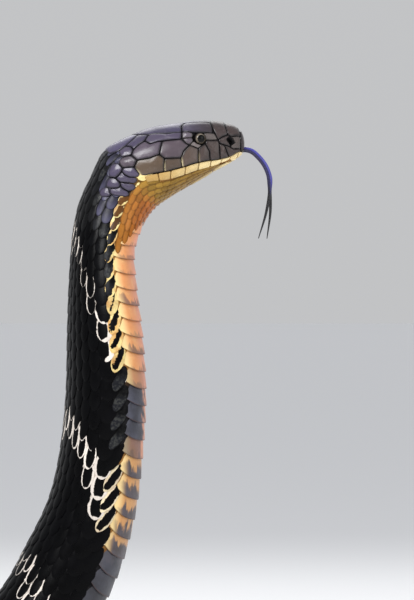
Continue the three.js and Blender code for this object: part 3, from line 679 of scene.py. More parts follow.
def tube(points: Array, ends: list[Array], values: dict[str, tuple], turned: bool = False) -> Shape:
    """Rings of points, closed by a point at each end.

    Args:
        points: The rings.
        ends: The two points.
        values: Under each name the numbers of the rings' points, then those of the two ends.
        turned: Whether the faces are turned about.

    Returns:
        Points, faces and values.
    """
    rows, columns = points.shape[:2]
    flat = {key: np.append(np.broadcast_to(value[0], (rows, columns)), value[1:]) for key, value in values.items()}
    return np.vstack([points.reshape(-1, 3), *ends]), tube_faces(rows, columns, turned), flat


def repeat_faces(faces: Faces, size: int, count: int) -> Faces:
    """Repeats the faces of one shape for as many as there are of it, each with this number of points."""
    offsets = (np.arange(count) * size)[:, None, None]
    return [(group[None] + offsets).reshape(-1, group.shape[1]) for group in faces]


def join(shapes: list[Shape]) -> Shape:
    """Joins shapes into one.

    Args:
        shapes: Points, faces and values of each.

    Returns:
        Those of all.
    """
    points, faces, values = zip(*shapes)
    starts = np.cumsum([0] + [len(group) for group in points])
    joined = [np.vstack([group[k] + start for group, start in zip(faces, starts)]) for k in range(len(faces[0]))]
    return np.vstack(points), joined, {key: np.concatenate([group[key] for group in values]) for key in values[0]}


def put(socket: bpy.types.NodeSocket, value: object) -> None:
    """Links a socket to a wire, or sets its own value.

    Args:
        socket: The socket.
        value: A wire, a number or a colour.
    """
    if isinstance(value, Wire):
        socket.id_data.links.new(value.socket, socket)
    else:
        socket.default_value = (*value, 1.0) if isinstance(value, tuple) else value


def node(tree: bpy.types.NodeTree, kind: str, inputs: dict, output: int | str = 0, **settings: object) -> "Wire":
    """Adds a node to a tree.

    Args:
        tree: The tree.
        kind: Type of the node.
        inputs: Wires, numbers and colours for its inputs, by name or by number.
        output: The output that is wanted, by name or by number.
        settings: Settings of the node itself.

    Returns:
        The output.
    """
    made = tree.nodes.new("ShaderNode" + kind)
    for key, value in settings.items():
        setattr(made, key, value)
    for key, value in inputs.items():
        put(made.inputs[key], value)
    return Wire(made.outputs[output])


@dataclass(frozen=True)
class Wire:
    """A number or a colour that the nodes of a material work out."""

    socket: bpy.types.NodeSocket

    def math(self, operation: str, *others: object) -> "Wire":
        """One step of arithmetic with it and others."""
        return node(self.socket.id_data, "Math", dict(enumerate((self, *others))), operation=operation)

    def __add__(self, other: object) -> "Wire":
        """The sum."""
        return self.math("ADD", other)

    def __sub__(self, other: object) -> "Wire":
        """The difference."""
        return self.math("SUBTRACT", other)

    def __mul__(self, other: object) -> "Wire":
        """The product."""
        return self.math("MULTIPLY", other)

    def rest(self, whole: float = 1.0) -> "Wire":
        """What is left of a whole without it."""
        return self.math("MULTIPLY_ADD", -1.0, whole)

    def spread(self, low: float, high: float, start: object = 0.0, end: float = 1.0) -> "Wire":
        """Maps it from the stretch low to high to the stretch start to end, smoothly and within its ends."""
        stretch = dict(enumerate((self, low, high, start, end)))
        return node(self.socket.id_data, "MapRange", stretch, interpolation_type="SMOOTHSTEP")


class Shader:
    """Builds one node material step by step."""

    def __init__(self, name: str) -> None:
        """Makes an empty material.

        Args:
            name: Its name.
        """
        self.material = bpy.data.materials.new(name)
        self.material.use_nodes = True
        self.tree = self.material.node_tree
        self.tree.nodes.clear()
        self.coordinates = node(self.tree, "TexCoord", {}, "Object")

    def read(self, *names: str) -> list[Wire]:
        """The piece's own attributes of these names."""
        return [node(self.tree, "Attribute", {}, "Fac", attribute_name=name) for name in names]

    def noise(self, scale: float, detail: float = 3.0, roughness: float = 0.55, at: Wire | None = None) -> Wire:
        """Cloudy noise at the object's own coordinates, in metres, or at others."""
        inputs = {"Vector": at or self.coordinates, "Scale": scale, "Detail": detail, "Roughness": roughness}
        return node(self.tree, "TexNoise", inputs)

    def paint(self, base: object, *coats: tuple[object, object]) -> Wire:
        """Lays coats of colour over a base.

        Args:
            base: The colour under them.
            coats: The share and the colour of each.

        Returns:
            The mixed colour.
        """
        for share, colour in coats:
            base = node(self.tree, "Mix", {0: share, 6: base, 7: colour}, 2, data_type="RGBA")
        return base

    def finish(
        self, colour: Wire, roughness: object, bump: Wire | None = None, depth: float = 0.1, **others: float
    ) -> Material:
        """Sets the surface and returns the material.

        Args:
            colour: Base colour.
            roughness: Roughness.
            bump: Height for the bump, 0 to 1.
            depth: Depth of the bump in millimetres.
            others: Other inputs of the surface, with spaces written as underscores.

        Returns:
            The finished material.
        """
        inputs = {"Base Color": colour, "Roughness": roughness}
        if bump:
            relief = {"Strength": 1.0, "Distance": depth * MM, "Height": bump}
            inputs["Normal"] = node(self.tree, "Bump", relief)
        inputs |= {key.replace("_", " "): value for key, value in others.items()}
        put(self.tree.nodes.new("ShaderNodeOutputMaterial").inputs[0], node(self.tree, "BsdfPrincipled", inputs))
        return self.material


@dataclass(frozen=True)
class ScaleFinish:
    """Small smooth scales: near black, slate behind the head with a painted highlight towards each scale's free end and
    painted shade over its covered front, gold on the throat, edged with white in the bands.
    """

    black: Colour = srgb(5, 5, 6)
    sheen: Colour = srgb(16, 16, 20)
    slate: Colour = srgb(43, 42, 54)
    shade: Colour = srgb(27, 26, 33)
    # The painted highlight towards each slate scale's free rear end.
    gleam: Colour = srgb(100, 98, 124)
    grey: Colour = srgb(40, 41, 45)
    lichen: Colour = srgb(83, 84, 81)
    white: Colour = srgb(236, 226, 216)
    cream: Colour = srgb(244, 222, 150)
    amber: Colour = srgb(206, 156, 92)
    dust: Colour = srgb(170, 150, 130)
    gold: Colour = srgb(156, 121, 52)
    orange: Colour = srgb(182, 105, 48)
    brown: Colour = srgb(72, 42, 20)
    name: str = "scales_of_the_neck"
    gloss: float = 0.07

    def material(self) -> Material:
        """Builds it: the distance to a scale's free edge, in millimetres, sets how far the pale rim reaches in.

        Returns:
            The material.
        """
        s = Shader(self.name)
        along, across, skew, wide, reach, lean = s.read("along", "across", "skew", "wide", "reach", "lean")
        cream, tone, warm, gold, lot = s.read("cream", "tone", "warm", "gold", "lot")
        grain, cloud = s.noise(900, 2), s.noise(140, 4)
        across = across + skew * (along - 0.6)
        end = along.rest() * 13.0 + 0.3
        edge = (across.math("ABSOLUTE").rest() * wide).math("SMOOTH_MIN", end, 1.2)
        edge = edge + (s.noise(330, 2) - 0.5) * (cream * 4.0 + 0.7) + (grain * 0.8 - 0.4)
        reach = reach * (across * lean + 1.0)
        rim = (reach - edge).spread(-0.2, 0.2) * reach.math("GREATER_THAN", 0.0)
        mottle = s.noise(480, 3).spread(0.42, 0.62, 0.0, 0.6) * tone.spread(0.55, 0.75)
        plain = s.paint(self.black, (cloud * 0.55, self.sheen))
        near_head = tone.spread(0.86, 1.0)
        # Slate near the head, lighter towards each scale's free rear end as a painted highlight.
        slate = s.paint(
            self.slate, (cloud.spread(0.3, 0.75), self.shade), (along.spread(0.3, 0.95, 0.1, 0.6), self.gleam)
        )
        # Black seams at the free edges, and black painted shade over each scale's covered front where the scale before
        # overlaps it, less of it near the head.
        slate = s.paint(
            s.paint(self.grey, (mottle, self.lichen), (near_head, slate)),
            (edge.spread(0.3, 1.3, 0.93, 0.0), self.black),
            (along.spread(0.32, 0.6, near_head.rest() * 0.85, 0.0), self.black),
        )
        throat = s.paint(
            self.gold,
            (warm, self.orange),
            (edge.spread(0.1, 1.3, 0.5, 0.0), self.brown),
            (cloud.spread(0.45, 0.8, 0.0, 0.35), self.brown),
        )
        pale = s.paint(
            self.white,
            (cream, s.paint(self.cream, (cloud.spread(0.4, 0.7), self.amber))),
            (grain.spread(0.35, 0.75, 0.0, 0.25), self.dust),
        )
        shadow = lot.spread(0.0, 1.0, 0.0, 0.25)
        colour = s.paint(plain, (tone, slate), (gold, throat), (rim, pale), (shadow, (0.0, 0.0, 0.0)))
        bump = grain * 0.5 + s.noise(2600, 2)
        return s.finish(colour, cloud.spread(0.2, 0.8, 0.24, 0.37), bump, 0.03, Specular_IOR_Level=self.gloss)


@dataclass(frozen=True)
class SkinFinish:
    """The skin between and under the scales, with the same markings in duller colours, and painted shade, near black,
    in the mouth line, round the eyes and in the nostrils.
    """

    black: Colour = srgb(14, 13, 15)
    cloudy: Colour = srgb(34, 32, 36)
    pale: Colour = srgb(205, 192, 178)
    gold: Colour = srgb(168, 122, 66)
    brown: Colour = srgb(132, 90, 46)
    # Near black: painted shade in the mouth line, round the eyes and in the nostrils.
    pit: Colour = (0.002, 0.002, 0.002)

    def material(self) -> Material:
        """Builds it from the markings that the skin carries at each point, and the painted shade of its hollows.

        Returns:
            The material.
        """
        s = Shader("skin")
        gold, band, pit = s.read("gold", "band", "pit")
        cloud, grain = s.noise(180, 4), s.noise(1500, 3)
        colour = s.paint(
            self.black,
            (cloud * 0.5, self.cloudy),
            (gold, s.paint(self.gold, (cloud, self.brown))),
            (band.spread(0.3, 0.9, 0.0, 0.8), self.pale),
            (pit, self.pit),
        )
        return s.finish(colour, grain.spread(0.2, 0.8, 0.5, 0.7), grain, 0.06, Specular_IOR_Level=0.15)


@dataclass(frozen=True)
class ShieldFinish:
    """The big smooth shields of the head: lavender on the crown, partly their own tint and partly a painted reflection
    of the sky on the top of the head, grey-brown at the sides, olive at the lips.
    """

    # Lavender: partly the shields' own tint, partly a painted reflection of the sky on the top of the head.
    lavender: Colour = srgb(69, 65, 98)
    brown: Colour = srgb(86, 75, 83)
    olive: Colour = srgb(88, 71, 49)
    snout: Colour = srgb(57, 45, 38)
    fleck: Colour = srgb(140, 128, 132)
    # Paler small shields: partly their own colour, partly a painted highlight.
    glow: Colour = srgb(158, 148, 140)
    dark: Colour = srgb(15, 12, 16)
    cream: Colour = srgb(222, 204, 160)

    def material(self) -> Material:
        """Builds it: dark at each shield's edge, a dark seam with painted shade reaching in from it, clouded inside,
        paler on some small shields, partly their own colour and partly a painted highlight, with a cream rear edge on
        the lip shields.

        Returns:
            The material.
        """
        s = Shader("head_shields")
        crown, olive, back, inward, glow, pale, lot = s.read(
            "crown", "olive", "back", "inward", "glow", "pale", "lot"
        )
        cloud, fine, grain = s.noise(70, 4, 0.6), s.noise(420, 3), s.noise(1400, 2)
        plain = s.paint(
            self.brown, (crown, self.lavender), (olive, self.olive), (back.spread(0.0, 0.45, 0.75, 0.0), self.snout)
        )
        colour = s.paint(
            plain,
            (cloud.spread(0.35, 0.75, 0.0, 0.5), s.paint(plain, (0.55, self.dark))),
            (fine.spread(0.55, 0.8, 0.0, 0.2), self.fleck),
            # A dark seam at each edge, with painted shade reaching in from it.
            ((inward + (fine - 0.5) * 0.5).spread(0.1, 1.7, 0.8, 0.0), self.dark),
            # Partly own paler colour, partly a painted highlight on some small shields.
            (glow * 0.45, self.glow),
            (pale * fine.spread(0.25, 0.55, 0.55, 1.0), self.cream),
            (lot.spread(0.0, 1.0, 0.0, 0.2), self.dark),
        )
        return s.finish(colour, cloud.spread(0.25, 0.75, 0.27, 0.4), fine * 1.2 + grain * 0.5, 0.035)


@dataclass(frozen=True)
class JawFinish:
    """The shields of the lower lip and chin: pale cream in front, golden further back, with brown seams, and olive
    painted shade underneath.
    """

    cream: Colour = srgb(250, 228, 168)
    gold: Colour = srgb(176, 141, 78)
    # Painted shade on the jaw's underside.
    olive: Colour = srgb(104, 82, 34)
    seam: Colour = srgb(120, 84, 38)

    def material(self) -> Material:
        """Builds it: the way back along the jaw turns cream to gold, and the way down darkens it to olive, as painted
        shade on the jaw's underside.

        Returns:
            The material.
        """
        s = Shader("jaw_scales")
        back, under, inward = s.read("back", "under", "inward")
        cloud, fine = s.noise(120, 4, 0.6), s.noise(700, 3)
        colour = s.paint(
            self.cream,
            (back, self.gold),
            # Olive towards the underside: painted shade.
            (under, self.olive),
            (cloud.spread(0.4, 0.75, 0.0, 0.4), self.gold),
            (inward.spread(0.02, 0.6, 0.42, 0.0), self.seam),
        )
        return s.finish(colour, fine.spread(0.2, 0.8, 0.36, 0.5), fine, 0.08)


@dataclass(frozen=True)
class ScuteFinish:
    """The broad scutes of the belly: yellow ends, pink middle, dark smudges, a dark line at each free rear edge that is
    partly seam and partly painted shade, and slate further back.
    """

    yellow: Colour = srgb(236, 206, 142)
    orange: Colour = srgb(224, 150, 94)
    pink: Colour = srgb(230, 152, 122)
    tan: Colour = srgb(204, 146, 88)
    slate: Colour = srgb(69, 70, 82)
    dark: Colour = srgb(28, 27, 32)
    # The dark line at each free rear edge: partly its seam, partly painted shade under that edge.
    seam: Colour = srgb(70, 40, 28)
    streaks: Triple = (9.0, 0.7, 60.0)

    def material(self) -> Material:
        """Builds it from each scute's warmth, smudge and slate, and the place across and along it.

        The streaks are noise drawn out along the body, at each scute's own across, along and lot.

        Returns:
            The material.
        """
        s = Shader("belly_scutes")
        across, along, lot = s.read("across", "along", "lot")
        dull, smudge, deep, strip, slated = s.read("dull", "smudge", "deep", "strip", "slate")
        cloud, fine, grain = s.noise(110, 4, 0.6), s.noise(520, 3), s.noise(1900, 2)
        own = {i: wire * factor for i, (wire, factor) in enumerate(zip((across, along, lot), self.streaks))}
        streak = s.noise(1.0, 3.0, 0.6, node(s.tree, "CombineXYZ", own))
        across = across.math("ABSOLUTE")
        warm = s.paint(
            self.pink,
            (across.spread(0.35, 0.8), self.orange),
            (dull, self.tan),
            (across.spread(0.78, 0.97), self.yellow),
            (cloud.spread(0.45, 0.8, 0.0, 0.35), self.yellow),
        )
        patch = along + (streak - 0.5) * 1.5 + (cloud - 0.5) * 0.6 + (smudge - 0.8) * 0.4
        smudged = patch.spread(0.52, 0.74) * (smudge * 0.6 + 0.35) * across.spread(0.8, 0.96, 1.0, 0.15)
        cloudy = s.paint(self.slate, (0.6, self.dark))
        slate = s.paint(self.slate, (cloud.spread(0.35, 0.7), cloudy), (deep, self.dark))
        bare = strip * (across + cloud * 0.5 + streak * 0.5 + lot * 0.16).spread(0.94, 1.08, 1.0, 0.0)
        # Dark line at the free rear edge: partly the seam, partly painted shade under the edge.
        free = along.spread(0.93, 0.99, 0.0, 0.55)
        colour = s.paint(warm, (smudged, slate), (slated * (bare * 0.85).rest(), slate), (free, self.seam))
        return s.finish(colour, cloud.spread(0.2, 0.8, 0.33, 0.46), fine + grain * 0.4, 0.07)


@dataclass(frozen=True)
class EyeFinish:
    """A dark round eye under its clear scale: black pupil, brown iris with a paler inner ring painted lit on its rear
    upper side as a painted highlight, black border.
    """

    pupil: Colour = (0.001, 0.001, 0.001)
    iris: Colour = srgb(38, 31, 26)
    # The paler iris colour: flecks all over, and a painted highlight on the rear upper side.
    ring: Colour = srgb(128, 118, 104)
    border: Colour = (0.004, 0.003, 0.003)

    def material(self) -> Material:
        """Builds it from the angle off the eye's own axis, in radians, and from how far each point faces the side on
        which the iris is painted lit.

        Returns:
            The material.
        """
        s = Shader("eye")
        (off, rear), fine = s.read("off_axis", "rear"), s.noise(1400, 4, 0.7)
        wavy = off + (fine - 0.5) * 0.05
        lit = s.paint(self.iris, (0.35, self.ring))
        # A painted highlight: the paler ring, lit on the iris's rear upper side.
        shine = wavy.spread(0.66, 0.86, 0.95, 0.2) * rear.spread(-0.3, 0.8, 0.1, 1.0)
        iris = s.paint(self.iris, (fine.spread(0.3, 0.7), lit), (shine, self.ring))
        colour = s.paint(self.pupil, (wavy.spread(0.58, 0.63), iris), (wavy.spread(0.84, 0.96), self.border))
        return s.finish(colour, 0.1, Coat_Weight=0.2, Coat_Roughness=0.02, Specular_IOR_Level=0.1)


@dataclass(frozen=True)
class TongueFinish:
    """A moist tongue: blue-violet above, dark beneath as painted shade, black at its two tips."""

    violet: Colour = srgb(76, 74, 162)
    # Dark: painted shade beneath, and dark flecks all over.
    under: Colour = srgb(26, 24, 64)
    black: Colour = srgb(10, 9, 16)

    def material(self) -> Material:
        """Builds it from how far the surface faces up, for painted shade beneath, and how far along the tongue it is.

        Returns:
            The material.
        """
        s = Shader("tongue")
        (top, tip), fine = s.read("top", "tip"), s.noise(1600, 3)
        colour = s.paint(
            self.under,
            (top.spread(-0.2, 0.75), self.violet),
            (fine.spread(0.35, 0.75, 0.0, 0.3), self.under),
            (tip.spread(0.42, 0.62), self.black),
        )
        return s.finish(colour, fine.spread(0.2, 0.8, 0.2, 0.34), fine, 0.06, Specular_IOR_Level=0.6)


@dataclass(frozen=True)
class FloorFinish:
    """A matt pale studio floor."""

    pale: Colour = (0.9, 0.9, 0.9)
    grey: Colour = (0.8, 0.8, 0.8)

    def material(self) -> Material:
        """Builds it with a faint grain."""
        s = Shader("studio_floor")
        return s.finish(s.paint(self.pale, (s.noise(40, 3) * 0.04, self.grey)), 0.85)


@dataclass
class Lattice:
    """The rows of small scales: their lines along the body, and how the scales follow one another in each.

    Row 0 lies on the ridge, and rows 1 and up lie on each side below it. A row's width is a share of the whole, and
    where it ends its share fades out, its neighbours close up, and those above slide by half a scale.
    """

    body: Body
    rows: int = 17
    body_rows: int = 9
    opening: Pair = (97.0, 125.0)
    # place and row at which a row ends on each side
    ends: Table = ((640, 5), (2330, 4), (2800, 6), (2950, 3), (3120, 7), (3300, 2), (3440, 8))
    fade: float = 34.0
    slide: float = 150.0
    # place, and the distance from one scale to the next in a row
    pitches: Table = (
        (0, 8.4), (50, 7.6), (70, 7.2), (88, 7.8), (112, 9.5), (140, 10.8), (190, 12.2), (270, 12.6), (2300, 12.2),
        (2880, 10.2), (3300, 7.4), (3600, 3.9),
    )
    low_shares: tuple[float, ...] = (1.12, 1.5, 1.15)
    # place, and the angle of the scutes' edge in degrees
    edge_angles: Table = ((0, 97), (100, 98), (150, 100), (185, 107), (213, 112), (520, 113), (2880, 116), (3600, 116))

    def __post_init__(self) -> None:
        """Works out the rows' middles, widths and phases over the body's places."""
        places = self.body.places
        steps = np.diff(places) / read_off(self.pitches, (places[1:] + places[:-1]) / 2)
        self.phase = np.concatenate([[0.0], np.cumsum(steps)])
        edge = self.body.girth_of(places, np.radians(read_off(self.edge_angles, places)))
        behind = smooth(62, 84, places)
        self.edge = edge * behind + (self.body.lip_girths + 3) * (1 - behind)
        shares = np.ones((len(places), self.rows))
        shares[:, 0] = 0.5
        shares[:, self.body_rows - len(self.low_shares) : self.body_rows] = self.low_shares
        shares[places > self.opening[1], self.body_rows :] = 0
        self.shift = np.zeros((len(places), self.rows))
        for place, row in self.ends:
            shares[:, row] *= 1 - smooth(place - self.fade, place + self.fade, places)
            self.shift[:, :row] += 0.5 * smooth(place - self.slide, place + self.slide, places)[:, None]
        widths = shares * (self.edge / shares[:, : self.body_rows].sum(axis=1))[:, None]
        widths[:, self.body_rows :] = ((self.body.half - self.edge) / (self.rows - self.body_rows))[:, None]
        self.line = np.cumsum(widths, axis=1) - widths / 2
        self.line[:, 0] = 0.0
        widths[:, 0] *= 2
        self.spacing, self.shares = widths, shares

    def edge_at(self, place: Array) -> Array:
        """The girth at which the small scales end and the belly scutes begin."""
        return np.interp(place, self.body.places, self.edge)

    def open_at(self, place: Array) -> Array:
        """Half the width of the belly scutes: on the throat it grows as the share of the way to the power of 0.7.

        Args:
            place: Place of each scute.

        Returns:
            The widths, as girths.
        """
        start, end = self.opening
        wide = self.body.half_girth(place) - self.edge_at(place)
        return wide * np.clip((place - start) / (end - start), 0, 1) ** 0.7

    def height(self, place: Array, girth: Array) -> Array:
        """The height of each point."""
        return np.abs(girth) / self.edge_at(place)

    def roots(self, first: float, last: float) -> tuple[Array, Array]:
        """Where scales begin, between two places.

        In each row the scales begin where its phase is a whole number. The phase counts scales from the snout, is
        half a scale further in every other row, and slides where a row above or below has ended.

        Args:
            first: Least place.
            last: Greatest place.

        Returns:
            Place and signed row, plus one, of each scale. Row 0 comes once, the others on both sides.
        """
        found_places, found_rows = [], []
        for row in range(self.rows):
            phase = self.phase + 0.5 * (row % 2) + self.shift[:, row]
            place = np.interp(np.arange(1, int(phase[-1])), phase, self.body.places)
            share = np.interp(place, self.body.places, self.shares[:, row] / self.shares[0, row])
            place = place[(place >= first) & (place < last) & (share > 0.5)]
            for sign in (1,) if row == 0 else (1, -1):
                found_places.append(place)
                found_rows.append(np.full(len(place), sign * (row + 1)))
        return np.concatenate(found_places), np.concatenate(found_rows)

    def follow(self, place: Array, row: Array) -> tuple[Array, Array]:
        """The rows' middles and widths at each place.

        Args:
            place: Places.
            row: Signed row plus one at each.

        Returns:
            Signed girth of the middle, and width.
        """
        i, t = bracket(self.body.places, place)
        column = np.abs(row) - 1
        line, width = (table[i, column] * (1 - t) + table[i + 1, column] * t for table in (self.line, self.spacing))
        return np.sign(row) * line, width


@dataclass
class Markings:
    """Where the animal is banded, golden, slate or pale, as functions of place and height."""

    lattice: Lattice
    first_bands: Table = ((112.5, 88.0, 7.5, 17.0), (232.0, 61.0, 7.5, 23.0), (340.0, 59.0, 7.0, 17.0))
    # height, and the share of its sweep that a band has made there
    sweeps: Table = (
        (0, 0), (0.25, 0.07), (0.45, 0.18), (0.55, 0.33), (0.65, 0.52), (0.75, 0.7), (0.86, 0.85), (1, 0.93),
    )
    band_every: float = 103.0
    last_place: float = 3560.0

    def bands(self) -> list[tuple[float, ...]]:
        """Each band's place at the ridge, its sweep back to the belly, and its half width at either.

        Returns:
            The first bands as named, and the others evenly behind them, each less swept and narrower.
        """
        rows = list(self.first_bands)
        place = rows[-1][0] + self.band_every
        while place < self.last_place:
            t = place / self.lattice.body.total_length
            rows.append((place, 58.0 - 44.0 * t, 10.0 - 5.0 * t, 20.0 - 14.0 * t))
            place += self.band_every * (1.0 - 0.45 * max(0.0, (place - 2600) / 1000))
        return rows

    def band(self, place: Array, height: Array) -> Array:
        """How much a point belongs to a pale band: it falls off with its distance from the middle of the nearest.

        Args:
            place: Place of each point.
            height: Height of each.

        Returns:
            The shares, 0 to 1.
        """
        away = np.full(np.shape(place), np.inf)
        share, low = read_off(self.sweeps, height), np.clip(height, 0, 1) ** 3
        for ridge, sweep, narrow, wide in self.bands():
            away = np.minimum(away, np.abs(place - ridge - sweep * share) / (narrow + (wide - narrow) * low))
        return 1 - smooth(0.75, 1.1, away)

    def tone(self, place: Array, height: Array) -> Array:
        """Slate grey behind the head, which lasts longest low on the side.

        Args:
            place: Place of each point.
            height: Height of each.

        Returns:
            The shares, 0 to 1.
        """
        reach = 84 + 36 * smooth(0.3, 0.8, height)
        low_row = 0.35 * smooth(0.72, 0.9, height) * (1 - smooth(150, 190, place))
        low_row = np.maximum(low_row, 0.85 * (height > 0.87) * between(204, 210, 250, 258, place))
        return np.maximum(1 - smooth(reach - 14, reach + 10, place), low_row)

    def gold(self, place: Array, height: Array) -> Array:
        """Golden under the mouth line and, behind it, on the throat as far as the belly scutes."""
        line = np.where(place < 62, (self.lattice.body.lip(place) + 0.4) / self.lattice.edge_at(place), 0.985)
        return smooth(-0.015, 0.015, height - line) * (1 - smooth(124, 130, place))

    def slate(self, place: Array) -> Array:
        """Slate belly scutes: a first dark stretch, and all from the second one on, paler where a band meets them.

        Args:
            place: Place of each scute.

        Returns:
            The shares, 0 to 1.
        """
        slate = between(206, 212, 250, 257, place) + smooth(306, 322, place)
        meets = self.band(place, np.ones(place.shape))
        return np.clip(slate - 0.45 * meets * between(320, 340, 1400, 2400, place), 0, 1)

    def warm(self, place: Array, height: Array) -> Array:
        """From gold under the jaw to orange on the throat."""
        return smooth(68, 88, place) * (0.6 + 0.4 * smooth(1.05, 1.35, height))

    def cream_edges(self, place: Array, height: Array) -> Array:
        """Cream edges on the rows next to the golden throat and the first belly scutes."""
        return (height > 0.87) * (height < 0.99) * between(62, 66, 200, 212, place)


def scale_template(columns: int, stations: Array) -> tuple[Array, Array, Array, Faces]:
    """One scale as a thin closed leaf: a top of rows across, a wall round it and an underside.

    Top and underside each have a single point at the root and at the tip, with rows from edge to edge between them.
    The underside's rows have their two edge points only, and the wall joins those to the top's.

    Args:
        columns: Steps across the top.
        stations: Shares of the length at which the rows lie, from 0 to 1.

    Returns:
        Across (-1 to 1), along (0 to 1) and layer (0 top, 1 under) of each point, and the faces.
    """
    rows, start = len(stations) - 2, 0
    across, along, layers, triangles, quads, edges = [], [], [], [], [], []
    for layer, steps in enumerate((columns, 1)):
        index = start + 1 + np.arange(rows * (steps + 1)).reshape(rows, steps + 1)
        across += [[0.0], np.tile(np.linspace(-1, 1, steps + 1), rows), [0.0]]
        along += [[0.0], np.repeat(stations[1:-1], steps + 1), [1.0]]
        layers.append(np.full(index.size + 2, float(layer)))
        tip, way = start + index.size + 1, 2 * layer - 1
        fans = np.vstack([fan(start, index[0, ::-1]), fan(tip, index[-1])])
        triangles.append(fans[:, ::way])
        quads.append(grid_faces(index)[:, ::way])
        edges.append([np.array([start, *index[:, side], tip]) for side in (0, -1)])
        start = tip + 1
    for side, way in enumerate((-1, 1)):
        quads.append(grid_faces(np.stack([edges[0][side], edges[1][side]]))[:, ::way])
    return *(np.concatenate(part) for part in (across, along, layers)), [np.vstack(triangles), np.vstack(quads)]


